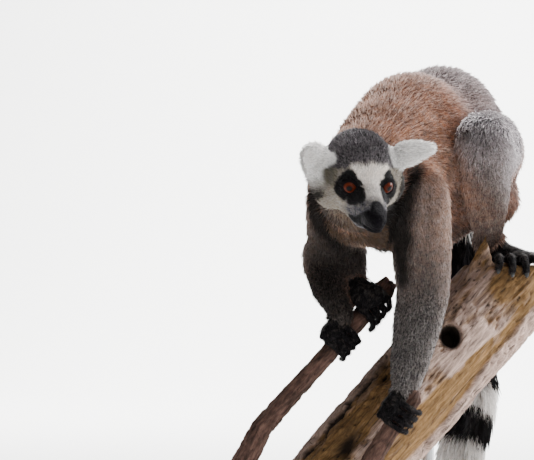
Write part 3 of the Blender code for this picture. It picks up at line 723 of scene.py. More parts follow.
def markings(points, normals, part, edges):
    """The colour of the coat at each point, how grizzled it is, and where the skin is bare."""
    kinds = np.array([kind(name) for name in part])

    def of(*names):
        return np.isin(kinds, names)

    head, is_head, paw = head_coordinates(points), of("head", "muzzle"), of("hand", "foot")
    drift = lattice(points, 22 * MM, 1) + 0.6 * lattice(points, 9 * MM, 2)       # keeps every edge ragged
    colour = body_colours(points, normals, part, of, drift)
    down = follow(points, TAIL)[0] / MM + 1.5 * drift
    ring = np.searchsorted(np.cumsum((FIRST_RING,) + RINGS), down)
    ringed = (of("tail") & (down > FIRST_RING))[:, None]
    # The rings are darkened before the colours run together, so the tail's root beside them darkens: painted
    # shade where the tail leaves the body.
    colour = np.where(ringed, colour * 0.2, colour)
    held = of("head", "muzzle", "ear", "hand", "foot")[:, None]          # the others run into one another
    colour = np.where(held, colour, spread(colour, edges, 40))
    colour = np.where(ringed, np.where((ring % 2 == 0)[:, None], TAIL_WHITE, BLACK), colour)
    colour = neck_colours(colour, points, normals, of, head, drift)
    flecks = ramp(lattice(points, 2.2 * MM, 12) + 0.5 * normals[:, 2], 0.1, 0.9)
    for chosen, own in ((of("ear"), EAR_WHITE), (is_head, face_markings(head)),
                        (paw, mixed(np.array([PAW]), PAW_FLECK, flecks * 0.55))):
        colour = np.where(chosen[:, None], own, colour)
    clumps = 1 + 0.16 * lattice(points, 3.2 * MM, 8) + 0.10 * lattice(points, 7 * MM, 9)
    colour = colour * np.where(is_head | of("ear"), 1.0, clumps)[:, None]
    bright = colour.mean(axis=1)
    cap = is_head & (bright < 0.12) & (bright > 0.048)
    grizzle = np.select((cap, is_head, of("forearm", "hand"), of("ear", "tail")), (1.5, 0.35, 1.5, 0.25),
                        0.85)
    bare = np.where(paw | (is_head & (bright < 0.03) & (head[:, 1] < -17)), 1.0, 0.0)
    return np.clip(colour, 0.004, 1), grizzle, bare


# The lie of the coat: back over the head from the nose, along the trunk to the tail, down every limb.
LIE = {"neck": (0, 0.75, 0.15), "chest": (0, 1, -0.15), "back": (0, 1, -0.25), "rump": (0, 1, -0.35),
       "upper_arm_left": (-0.05, 0.26, -0.9), "upper_arm_right": (-0.2, 0.4, -0.7),
       "forearm_left": (0.03, -0.5, -0.86), "forearm_right": (0.45, -0.75, -0.45),
       "hand_left": (0.1, -0.5, -0.86), "hand_right": (0.45, -0.75, -0.45),
       "thigh_left": (0.36, -0.85, -0.35), "thigh_right": (-0.26, -0.95, -0.3),
       "shank_left": (-0.25, 0.65, -0.8), "shank_right": (0.45, -0.65, -0.95),
       "foot_left": (0.6, -0.75, -0.1), "foot_right": (0.1, -0.5, -0.8)}
LENGTH = {"head": 4.6, "muzzle": 1.6, "ear": 6.0, "neck": 11.5, "chest": 11.5, "back": 11.5, "rump": 12.0,
          "upper_arm": 9.0, "forearm": 7.0, "thigh": 11.0, "shank": 9.0, "tail": 20.0,
          "hand": 2.6, "foot": 3.0}                    # millimetres from root to tip


def lie_of(points, normals, part, edges):
    """The way the hairs lie at each point, along the surface."""
    way = np.zeros((len(points), 3))
    head = head_coordinates(points)
    turn = np.array(HEAD.to_3x3())
    for name in set(part):
        chosen = part == name
        if kind(name) in ("head", "muzzle"):
            way[chosen] = (head[chosen] - (0, -38, -12)) @ turn.T
        elif kind(name) == "ear":
            side = 1 if name.endswith("left") else -1
            way[chosen] = (np.array((side * 31.0, -30.0, 13.0)) @ turn.T)
        elif kind(name) == "tail":
            way[chosen] = follow(points[chosen], TAIL)[2]
        else:
            way[chosen] = LIE.get(name) or LIE[kind(name)]
    way /= np.linalg.norm(way, axis=1)[:, None] + 1e-9
    way = spread(way, edges, 14)
    way += 0.22 * np.column_stack([lattice(points, 9 * MM, 31 + k) for k in range(3)])
    way -= normals * np.sum(way * normals, axis=1)[:, None]
    return way / (np.linalg.norm(way, axis=1)[:, None] + 1e-9)


def write(mesh, name, kind_of_value, values):
    attribute = mesh.attributes.new(name, kind_of_value, "POINT")
    field = {"FLOAT": "value", "FLOAT_VECTOR": "vector", "FLOAT_COLOR": "color"}[kind_of_value]
    if kind_of_value == "FLOAT_COLOR":
        values = np.hstack([values, np.ones((len(values), 1))])
    attribute.data.foreach_set(field, values.astype(np.float32).ravel())


def mark_skin(skin):
    """Writes the markings, the lie and the length of the coat onto the skin, and returns its parts."""
    mesh = skin.data
    co, normal, edges = points_of(mesh), normals_of(mesh), edges_of(mesh)
    part = part_at(co)
    colour, grizzle, bare = markings(co, normal, part, edges)
    head = head_coordinates(co)
    length = np.array([LENGTH[kind(name)] for name in part])
    is_head = np.isin(part, ("head", "muzzle"))
    cheek = is_head * ramp(head[:, 1], 4, 24) * fall(head[:, 2], 4, 14)
    length = np.where(is_head, 2.0 + 4.0 * ramp(head[:, 2], 14, 26), length)     # longer over the brow
    length += (1.2 + 2.3 * (head[:, 0] < 0)) * cheek
    length = spread(length, edges, 3)
    write(mesh, "Markings", "FLOAT_COLOR", colour)
    write(mesh, "Grizzle", "FLOAT", grizzle)
    write(mesh, "Bare", "FLOAT", bare)
    write(mesh, "Lie", "FLOAT_VECTOR", lie_of(co, normal, part, edges))
    write(mesh, "Hair length", "FLOAT", length * MM)
    return part


skin_parts = mark_skin(skin)


def node_of(tree, kind_of_node, values=None, **settings):
    """A node with those settings. Each of its inputs in values is set to a value or linked from an output."""
    made = tree.nodes.new(kind_of_node)
    for name, value in settings.items():
        setattr(made, name, value)
    for socket, value in (values or {}).items():
        if isinstance(value, bpy.types.NodeSocket):
            tree.links.new(value, made.inputs[socket])
        else:
            made.inputs[socket].default_value = value
    return made


def read(tree, name, output="Fac"):
    return node_of(tree, "ShaderNodeAttribute", attribute_name=name).outputs[output]


def on_piece(tree, stretch=None):
    """Each point's place on its piece, in metres, or stretched along the axes."""
    place_at = node_of(tree, "ShaderNodeTexCoord").outputs["Object"]
    if stretch is None:
        return place_at
    return node_of(tree, "ShaderNodeMapping", {"Vector": place_at, "Scale": stretch}).outputs["Vector"]


def noise(tree, vector, scale, detail=2, roughness=0.5, output="Fac", distortion=0):
    values = {"Vector": vector, "Scale": scale, "Detail": detail, "Roughness": roughness,
              "Distortion": distortion}
    return node_of(tree, "ShaderNodeTexNoise", values).outputs[output]


def spanned(tree, value, low, high, to_low, to_high):
    """The value with the range from low to high laid over the range from to_low to to_high."""
    return node_of(tree, "ShaderNodeMapRange", {"Value": value, "From Min": low, "From Max": high,
                                                "To Min": to_low, "To Max": to_high}).outputs["Result"]


def sum_of(tree, operation, *values):
    return node_of(tree, "ShaderNodeMath", dict(enumerate(values)), operation=operation).outputs[0]


def vectors_of(tree, operation, values):
    return node_of(tree, "ShaderNodeVectorMath", values, operation=operation).outputs["Vector"]


def blend(tree, share, first, second, blend_type="MIX"):
    """The first colour with a share of the second laid over it."""
    return node_of(tree, "ShaderNodeMix", {"Factor": share, "A": first, "B": second},
                   data_type="RGBA", blend_type=blend_type).outputs["Result"]


def stops_of(tree, value, stops):
    """A row of colours over the value, blended between the stops: (position, colour)."""
    made = node_of(tree, "ShaderNodeValToRGB", {"Fac": value})
    elements = made.color_ramp.elements
    for element, (position, colour) in zip((elements[0], elements[1]), (stops[0], stops[-1])):
        element.position, element.color = position, (*colour, 1)
    for position, colour in stops[1:-1]:
        elements.new(position).color = (*colour, 1)
    return made.outputs["Color"]


def roughen(tree, shader, height, strength, distance):
    bump = node_of(tree, "ShaderNodeBump", {"Height": height, "Strength": strength, "Distance": distance})
    tree.links.new(bump.outputs["Normal"], shader.inputs["Normal"])


def coat_colours():
    """A shader group: the markings, darker at the root and paler at the tip, with grizzled hairs."""
    group = bpy.data.node_groups.new("coat colours", "ShaderNodeTree")
    group.interface.new_socket("Root shade", in_out="INPUT", socket_type="NodeSocketFloat")
    group.interface.new_socket("Colour", in_out="OUTPUT", socket_type="NodeSocketColor")
    root_shade = node_of(group, "NodeGroupInput").outputs["Root shade"]
    tip = spanned(group, read(group, "Tip"), 0, 0.7, root_shade, 1.12)
    here = on_piece(group)
    fleck = spanned(group, noise(group, here, 620), 0.32, 0.68, -0.5, 0.5)     # pale and dark flecks
    both = sum_of(group, "ADD", read(group, "Shade"), fleck)
    swing = sum_of(group, "MULTIPLY", both, read(group, "Grizzle"))    # how far this hair is from the mean
    bright = sum_of(group, "MULTIPLY_ADD", swing, tip, tip)
    warmth = spanned(group, noise(group, here, 190, 4), 0.38, 0.62, 0.78, 1.10)    # drifts of grey hairs
    hue = node_of(group, "ShaderNodeHueSaturation",
                  {"Saturation": warmth, "Color": read(group, "Markings", "Color")}).outputs["Color"]
    node_of(group, "NodeGroupOutput", {"Colour": vectors_of(group, "SCALE", {0: hue, "Scale": bright})})
    return group


COAT_COLOURS = coat_colours()


def finish(name, roughness, **values):
    """A material with a Principled shader and those values on its own sockets."""
    made = bpy.data.materials.new(name)
    made.use_nodes = True
    shader = made.node_tree.nodes["Principled BSDF"]
    shader.inputs["Roughness"].default_value = roughness
    for socket, value in values.items():
        shader.inputs[socket.replace("_", " ")].default_value = value
    return made, made.node_tree, shader


def painted(tree, shader, colour):
    tree.links.new(colour, shader.inputs["Base Color"])


def marked(tree, shader, root_shade):
    """Gives a finish the markings of the coat."""
    painted(tree, shader, node_of(tree, "ShaderNodeGroup", {"Root shade": root_shade},
                                  node_tree=COAT_COLOURS).outputs["Colour"])


def coat_finish():
    made, tree, shader = finish("coat", 0.75, Specular_IOR_Level=0.15, Sheen_Weight=0.06, Sheen_Roughness=0.5)
    marked(tree, shader, 0.55)
    return made


def skin_finish():
    """Short hair and skin under the coat, with creased leather on the bare paws and nose."""
    made, tree, shader = finish("skin", 0.6, Specular_IOR_Level=0.02)
    marked(tree, shader, 0.72)
    bare, here = read(tree, "Bare"), on_piece(tree)
    tree.links.new(spanned(tree, bare, 0, 1, 0.80, 0.42), shader.inputs["Roughness"])
    creases = node_of(tree, "ShaderNodeTexVoronoi", {"Vector": here, "Scale": 420},
                      feature="DISTANCE_TO_EDGE")
    pores = node_of(tree, "ShaderNodeTexVoronoi", {"Vector": here, "Scale": 1100})
    lines = sum_of(tree, "MINIMUM", creases.outputs["Distance"], 0.25)
    scored = sum_of(tree, "MULTIPLY", lines, bare)
    fine = sum_of(tree, "MULTIPLY_ADD", pores.outputs["Distance"], 0.25, noise(tree, here, 260, 4))
    roughen(tree, shader, sum_of(tree, "MULTIPLY_ADD", scored, 4.0, fine), 0.6, 0.0006)
    return made


COAT = coat_finish()
skin.data.materials.clear()
skin.data.materials.append(skin_finish())
skin.data.shade_smooth()
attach(skin, "root")
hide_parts(*FLESH)


# ---- The coat ----
# Tufts of hair over the skin, each a thin bent lock that rises from its root and lies over the next.
TUFT_PATCH = 0.003                                     # the width of a tuft's patch in the unwrap
ROOT_PULL = 1.4                                        # how far a lock takes the skin's normal


def lock(name, middle, tip):
    """One closed lock that leaves the skin, swells to its middle and lies down to its tip: (rise, along)."""
    rows = [[(0, -0.12, -0.05)], [(-1, middle[0], middle[1]), (1, middle[0], middle[1]),
                                  (0, middle[0] + 0.07, middle[1])], [(0, tip[0], tip[1])]]
    bm = bmesh.new()
    tip_layer = bm.verts.layers.float.new("Tip")
    uv = bm.loops.layers.uv.new("Blade")
    root, ring, point = [[bm.verts.new(co) for co in row] for row in rows]
    for vert in ring + point:
        vert[tip_layer] = vert.co.z
    for k in range(3):
        bm.faces.new((root[0], ring[k], ring[(k + 1) % 3]))
        bm.faces.new((point[0], ring[(k + 1) % 3], ring[k]))
    bmesh.ops.recalc_face_normals(bm, faces=bm.faces)
    for face in bm.faces:
        for loop in face.loops:
            loop[uv].uv = (loop.vert.co.x * 0.5 + 0.5, max(0.0, loop.vert.co.z))
    mesh = bpy.data.meshes.new(name)
    bm.to_mesh(mesh)
    bm.free()
    return bpy.data.objects.new(name, mesh)


LONG_LOCK = lock("long lock", (0.30, 0.40), (0.44, 1.0))
SHORT_LOCK = lock("short lock", (0.16, 0.35), (0.34, 1.0))


def coat_tree():
    """Geometry Nodes: scatter points on a patch of skin, set a lock on each, and realize them."""
    tree = bpy.data.node_groups.new("coat", "GeometryNodeTree")
    tree.is_modifier = True
    sockets = tree.interface.new_socket
    sockets("Geometry", in_out="INPUT", socket_type="NodeSocketGeometry")
    sockets("Geometry", in_out="OUTPUT", socket_type="NodeSocketGeometry")
    for name, carries in (("Lock", "Object"), ("Finish", "Material"), ("Spacing", "Float"),
                          ("Width", "Float"), ("Rise", "Float"), ("Untidiness", "Float"), ("Seed", "Int")):
        sockets(name, in_out="INPUT", socket_type="NodeSocket" + carries)
    given = node_of(tree, "NodeGroupInput").outputs

    def named(name, data_type="FLOAT_VECTOR"):
        return node_of(tree, "GeometryNodeInputNamedAttribute", {"Name": name},
                       data_type=data_type).outputs["Attribute"]

    def store(geometry, name, data_type, value, domain="POINT"):
        return node_of(tree, "GeometryNodeStoreNamedAttribute",
                       {"Name": name, "Geometry": geometry, "Value": value},
                       data_type=data_type, domain=domain).outputs["Geometry"]

    def random(low, high, salt, data_type="FLOAT"):
        seed = node_of(tree, "FunctionNodeIntegerMath", {0: given["Seed"], 1: salt}, operation="ADD")
        made = node_of(tree, "FunctionNodeRandomValue",
                       {"Min": low, "Max": high, "Seed": seed.outputs[0]}, data_type=data_type)
        return next(socket for socket in made.outputs if socket.enabled)

    def product(a, b):
        return sum_of(tree, "MULTIPLY", a, b)

    points = node_of(tree, "GeometryNodeDistributePointsOnFaces",
                     {"Mesh": given["Geometry"], "Distance Min": given["Spacing"], "Density Max": 4e6,
                      "Seed": given["Seed"]}, distribute_method="POISSON").outputs
    rooted = store(points["Points"], "Root", "FLOAT2", named("Unwrap"))
    rooted = store(rooted, "Shade", "FLOAT", random(-0.40, 0.40, 11))
    rooted = store(rooted, "Root normal", "FLOAT_VECTOR", points["Normal"])
    stray = random((-1, -1, -1), (1, 1, 1), 23, "FLOAT_VECTOR")
    strayed = vectors_of(tree, "SCALE", {0: stray, "Scale": given["Untidiness"]})
    way = vectors_of(tree, "ADD", {0: named("Lie"), 1: strayed})
    turn = node_of(tree, "FunctionNodeAxesToRotation",
                   {"Primary Axis": points["Normal"], "Secondary Axis": way},
                   primary_axis="Y", secondary_axis="Z")
    length = product(named("Hair length", "FLOAT"), random(0.7, 1.2, 37))
    size = node_of(tree, "ShaderNodeCombineXYZ",
                   {"X": product(given["Width"], random(0.6, 1.3, 41)),
                    "Y": product(product(length, given["Rise"]), random(0.6, 1.4, 43)), "Z": length})
    shape = node_of(tree, "GeometryNodeObjectInfo", {"Object": given["Lock"]})
    planted = node_of(tree, "GeometryNodeInstanceOnPoints",
                      {"Points": rooted, "Instance": shape.outputs["Geometry"],
                       "Rotation": turn.outputs["Rotation"], "Scale": size.outputs["Vector"]})
    real = node_of(tree, "GeometryNodeRealizeInstances", {"Geometry": planted.outputs["Instances"]})
    blade = vectors_of(tree, "MULTIPLY_ADD",
                       {0: named("Blade"), 1: (TUFT_PATCH, TUFT_PATCH, 0), 2: named("Root")})
    mapped = store(real.outputs["Geometry"], "OFBake", "FLOAT2", blade, "CORNER")
    own = node_of(tree, "GeometryNodeInputNormal")     # locks shade softly, much as the skin below them does
    leaning = vectors_of(tree, "MULTIPLY_ADD",
                         {0: named("Root normal"), 1: (ROOT_PULL,) * 3, 2: own.outputs["Normal"]})
    mapped = node_of(tree, "GeometryNodeSetMeshNormal",
                     {"Mesh": mapped, "Custom Normal": vectors_of(tree, "NORMALIZE", {0: leaning})},
                     mode="FREE", domain="POINT").outputs["Mesh"]
    for name in ("Blade", "Root", "Root normal", "Unwrap", "Lie", "Hair length"):
        mapped = node_of(tree, "GeometryNodeRemoveAttribute",
                         {"Name": name, "Geometry": mapped}).outputs["Geometry"]
    finished = node_of(tree, "GeometryNodeSetMaterial", {"Geometry": mapped, "Material": given["Finish"]})
    node_of(tree, "NodeGroupOutput", {"Geometry": finished.outputs["Geometry"]})
    return tree


COAT_TREE = coat_tree()


def patch_of_skin(name, chosen):
    """A copy of the faces of the skin whose first corner is in chosen, with an unwrap of its own."""
    bm = bmesh.new()
    bm.from_mesh(skin.data)
    bm.verts.ensure_lookup_table()
    left_out = [f for f in bm.faces if not chosen[f.verts[0].index]]
    bmesh.ops.delete(bm, geom=left_out, context="FACES")
    patch = shaped(name, bm)
    patch.data.uv_layers.new(name="Unwrap")
    bpy.context.view_layer.objects.active = patch
    bpy.ops.object.select_all(action="DESELECT")
    patch.select_set(True)
    bpy.ops.object.mode_set(mode="EDIT")
    bpy.ops.mesh.select_all(action="SELECT")
    bpy.ops.uv.smart_project(angle_limit=math.radians(80), island_margin=0.004)
    bpy.ops.object.mode_set(mode="OBJECT")
    return patch


def grow_coat(name, parts, spacing, width, rise, untidiness, seed, lock_shape=LONG_LOCK, keep=None):
    """Grows locks on those parts of the skin. Spacing and width in millimetres."""
    chosen = np.isin(skin_parts, [n for n in FLESH if n in parts or kind(n) in parts])
    if keep is not None:
        chosen &= keep
    piece = patch_of_skin(name, chosen)
    coat = piece.modifiers.new("coat", "NODES")
    coat.node_group = COAT_TREE
    values = {"Lock": lock_shape, "Finish": COAT, "Spacing": spacing * MM, "Width": width * MM, "Rise": rise,
              "Untidiness": untidiness, "Seed": seed}
    for socket in COAT_TREE.interface.items_tree:
        if socket.in_out == "INPUT" and socket.name in values:
            coat[socket.identifier] = values[socket.name]
    plain(piece)
    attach(piece, "root")
    return piece


skin_head = head_coordinates(points_of(skin.data))
is_bare = rows_of(skin.data.attributes["Bare"].data, "value", 1, np.float32)[:, 0]
at_eye = sum(groove(skin_head, [(s * 17.5, 0, 0), (s * 17.5, 0, 0.1)], 7.5, 1.0) for s in (-1, 1)) > 0.4
on_cheek = (skin_head[:, 1] > 8) & (skin_head[:, 2] < 9)
FINE = 0.74                                            # millimetres between the roots of the body's locks
grow_coat("coat_face", ("head", "muzzle"), 0.62, 0.30, 0.8, 0.25, 3, SHORT_LOCK,
          (is_bare < 0.5) & ~at_eye & ~on_cheek)
grow_coat("coat_cheeks", ("head", "muzzle"), 0.62, 0.32, 1.15, 0.30, 4,
          keep=(is_bare < 0.5) & ~at_eye & on_cheek)
grow_coat("coat_ears", ("ear",), 0.55, 0.32, 0.9, 0.28, 5)
grow_coat("coat_paws", ("hand", "foot"), 1.15, 0.20, 0.8, 0.35, 6, SHORT_LOCK)
grow_coat("coat_neck", ("neck",), FINE, 0.42, 0.9, 0.28, 7)
for part, slot, seed in (("chest", "fur_back", 9), ("back", "fur_back", 11), ("rump", "fur_grey", 13)):
    grow_coat(f"coat_{part}", (part,), FINE, 0.42, 0.9, 0.25, seed)
for number, side in enumerate(("left", "right")):
    grow_coat(f"coat_arm_{side}", (f"upper_arm_{side}", f"forearm_{side}"), FINE, 0.40, 0.9, 0.28,
              15 + number)
    grow_coat(f"coat_leg_{side}", (f"thigh_{side}", f"shank_{side}"), 0.78, 0.44, 0.9, 0.28,
              19 + number)
for half, parts, seed in (("upper", (1, 2, 3), 25), ("lower", (4, 5, 6), 27)):
    grow_coat(f"coat_tail_{half}", [f"tail_{number}" for number in parts], FINE, 0.42, 0.9, 0.30,
              seed)


# ---- The eyes ----
# Glass balls with a domed front, an amber-red iris with fine spokes and a small round pupil, set in the lids.
IRIS = 6.0                                             # millimetres from the middle of the eye
DOME, DOME_REACH = 1.1, 38.0                           # how far the front stands out, within how many degrees


def eye_finish():
    made, tree, shader = finish("eye glass", 0.4, Specular_IOR_Level=0.05, Coat_Weight=0.10,
                                Coat_Roughness=0.02)
    fibres = noise(tree, read(tree, "Spoke", "Vector"), 9, 5)
    wavy = sum_of(tree, "MULTIPLY_ADD", fibres, 0.05, read(tree, "Rim"))
    bands = stops_of(tree, wavy, (
        (0.00, (0.001, 0.001, 0.001)), (0.33, (0.001, 0.001, 0.001)), (0.38, (0.038, 0.006, 0.002)),
        (0.62, (0.105, 0.017, 0.006)), (0.86, (0.060, 0.010, 0.003)), (0.985, (0.006, 0.002, 0.002))))
    painted(tree, shader, blend(tree, 0.6, bands, spanned(tree, fibres, 0.3, 0.7, 0.35, 1.25), "MULTIPLY"))
    return made


EYE_GLASS = eye_finish()


def eyeball(side, sign):
    gaze = HEAD.to_3x3() @ Vector((sign * GAZE.x, GAZE.y, GAZE.z))
    turn = gaze.to_track_quat("Z", "Y").to_matrix().to_4x4()
    bm = bmesh.new()
    bmesh.ops.create_uvsphere(bm, u_segments=48, v_segments=36, radius=EYE_RADIUS * MM)
    rim, spoke = bm.verts.layers.float.new("Rim"), bm.verts.layers.float_vector.new("Spoke")
    for vert in bm.verts:
        out = vert.co.normalized()
        off = math.degrees(math.acos(max(-1.0, min(1.0, out.z))))
        vert[rim] = EYE_RADIUS * math.sin(math.radians(min(off, 90))) / IRIS
        vert[spoke] = Vector((out.x, out.y, 0)).normalized() + Vector((0, 0, 0.06 * off))
        if off < DOME_REACH:
            vert.co += out * DOME * MM * (1 - (off / DOME_REACH) ** 2) ** 1.5
    bmesh.ops.transform(bm, verts=bm.verts, matrix=Matrix.Translation(eye_centres[side]) @ turn)
    ball = shaped(f"eyeball_{side}", bm)
    ball.data.shade_smooth()
    ball.data.materials.append(EYE_GLASS)
    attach(ball, "root")
    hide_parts(f"eye_{side}")


eyeball("left", 1)
eyeball("right", -1)


# ---- The nails ----
# A flat dark nail of horn on the tip of every finger and toe.
def nails():
    bm = bmesh.new()
    for tip, ahead, outward, radius in digit_tips:
        across = ahead.cross(outward)
        turn = Matrix((across, ahead, outward)).transposed().to_4x4()
        at = Matrix.Translation(tip + outward * radius * 0.62 + ahead * radius * 0.45)
        shape = Matrix.Diagonal((radius * 0.62, radius * 0.95, radius * 0.34, 1))
        bmesh.ops.create_uvsphere(bm, u_segments=16, v_segments=10, radius=1.0, matrix=at @ turn @ shape)
    piece = shaped("nails", bm)
    piece.data.shade_smooth()
    made, tree, shader = finish("horn", 0.35, Specular_IOR_Level=0.3)
    painted(tree, shader, spanned(tree, noise(tree, on_piece(tree), 900), 0, 1, 0.012, 0.05))
    piece.data.materials.append(made)
    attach(piece, "root")


nails()


# ---- The perch ----
# Weathered driftwood: silver-pink ridges along the grain, golden rot in the hollows between them, open
# cracks, a knot hole and a broken top. A dark branch leaves it, and a short stake stands before it.
# Painted shade darkens the knot hole, a deep hollow low on the log and the log's left side, which is turned
# from the light.
LOG = [Vector(p) for p in (
    (0.097, 0.111, 0.400), (0.081, 0.076, 0.368), (0.049, 0.028, 0.315), (0.021, -0.023, 0.265),
    (-0.006, -0.069, 0.220), (-0.039, -0.106, 0.173), (-0.068, -0.120, 0.125))]
WHOLE_BRANCH = BRANCH + [Vector(p) for p in (
    (-0.074, -0.156, 0.234), (-0.092, -0.162, 0.198), (-0.098, -0.151, 0.156), (-0.086, -0.131, 0.122))]
WHOLE_STAKE = STAKE + [Vector(p) for p in ((0.016, -0.119, 0.207), (-0.003, -0.109, 0.185))]
LOG_TOP = 0.375
LOG_RADIUS = 44.5                                      # millimetres, beside the knot hole
SPLINTER_FOOT = (0.063, 0.028, 0.356)
KNOT_HOLE, KNOT_AIM = Vector((0.051, -0.028, 0.312)), Vector((0.42, -0.85, 0.30))
KNOT_OVAL, KNOT_DEPTH = (9.4 * MM, 12.6 * MM), 44 * MM
KNOT_TALL, KNOT_SQUEEZE = np.array((0.12, -0.33, 0.94)), 0.29      # its long way, and how much longer that is
FRONT = TO_CAMERA + (0, 0, 0.10)                       # the side of the log that is turned to the viewer


def wood_finish(name, ridge, hollow, cracks_and_shade, bump_depth):
    """Dry wood: colours drawn out along a wavy grain, gritty where it has rotted, darker in its cracks and
    where painted shade is laid on.
    """
    made, tree, shader = finish(name, 0.85, Specular_IOR_Level=0.2)
    grain = read(tree, "Grain", "Vector")
    sway = noise(tree, grain, 0.05, 2, 0.6, "Color")   # the grain winds round old knots
    wavy = vectors_of(tree, "MULTIPLY_ADD", {0: sway, 1: (20, 20, 20), 2: grain})
    streaks, grit = noise(tree, wavy, 0.30, 8, 0.7), noise(tree, grain, 1.5, 5, 0.7)
    tone = sum_of(tree, "MULTIPLY", spanned(tree, streaks, 0.32, 0.68, 0.30, 1.45),
                  spanned(tree, grit, 0.30, 0.70, 0.62, 1.36))
    rotten = sum_of(tree, "MULTIPLY_ADD", noise(tree, wavy, 0.11, 4, 0.6), 1.9, read(tree, "Hollow"))
    two = blend(tree, spanned(tree, rotten, 0.80, 1.60, 0, 1), (*ridge, 1), (*hollow, 1))
    streaked = vectors_of(tree, "SCALE", {0: two, "Scale": tone})
    dark = sum_of(tree, "MAXIMUM", spanned(tree, streaks, 0.40, 0.33, 0, 0.85), read(tree, "Cracks and shade"))
    painted(tree, shader, blend(tree, dark, streaked, (*cracks_and_shade, 1)))
    roughen(tree, shader, sum_of(tree, "MULTIPLY_ADD", grit, 0.35, streaks), 0.8, bump_depth)
    return made


def grain_of(points, path, stretch):
    """Along and round a piece of wood: the distance, the angle from its front and the place in the grain."""
    where, axis, way = follow(points, path)
    front = FRONT - way * (way @ FRONT)[:, None]
    front /= np.linalg.norm(front, axis=1)[:, None]
    off = points - axis
    lateral = np.cross(front, way)
    angle = np.degrees(np.arctan2(np.sum(off * lateral, axis=1), np.sum(off * front, axis=1)))
    radius = np.linalg.norm(off, axis=1) / MM
    turned = np.radians(angle)
    grain = np.column_stack((where / MM / stretch, radius * np.cos(turned), radius * np.sin(turned)))
    return where / MM, angle, grain


def carved(piece, path, stretch, form):
    """Draws the surface in by what form gives, and writes the attributes for its finish."""
    co = points_of(piece.data)
    where, angle, grain = grain_of(co, path, stretch)
    sunk, hollow, cracks_and_shade = form(where, angle, grain, co)
    place(piece.data, co - normals_of(piece.data) * sunk[:, None] * MM)
    write(piece.data, "Grain", "FLOAT_VECTOR", grain)
    write(piece.data, "Hollow", "FLOAT", hollow)
    write(piece.data, "Cracks and shade", "FLOAT", np.clip(cracks_and_shade, 0, 1))
    piece.data.shade_smooth()


def wooden(name, owners, finish_of, grain, path, stretch, form, cutter=None, added=None):
    bm = merged(owners)
    if added:
        added(bm)
    piece = melt(shaped(name, bm), grain, 2)
    if cutter:
        cut = piece.modifiers.new("hole", "BOOLEAN")
        cut.object = cutter
        cut.solver = "EXACT"
        plain(piece)
        bpy.data.objects.remove(cutter)
        melt(piece, grain, 1)
    carved(piece, path, stretch, form)
    piece.data.materials.clear()
    piece.data.materials.append(finish_of)
    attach(piece, "root")
    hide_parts(*owners)


def splinter_foot(bm):
    """The broad torn foot of the splinter, where it grows out of the edge of the log."""
    low, high = Vector((0.057, 0.022, 0.350)), Vector((0.0635, 0.028, 0.400))
    shape = (Matrix.Translation((low + high) / 2) @ Matrix.Rotation(math.radians(25), 4, "Z")
             @ Matrix.Diagonal((1.0, 0.42, 1.0, 1.0))
             @ (high - low).to_track_quat("Z", "Y").to_matrix().to_4x4())
    bmesh.ops.create_cone(bm, cap_ends=True, segments=20, radius1=0.020, radius2=0.0015,
                          depth=(high - low).length, matrix=shape)
    # the torn wood under the foot
    oval(bm, Vector((0.074, 0.052, 0.3715)), (26 * MM, 18 * MM, 6.5 * MM))


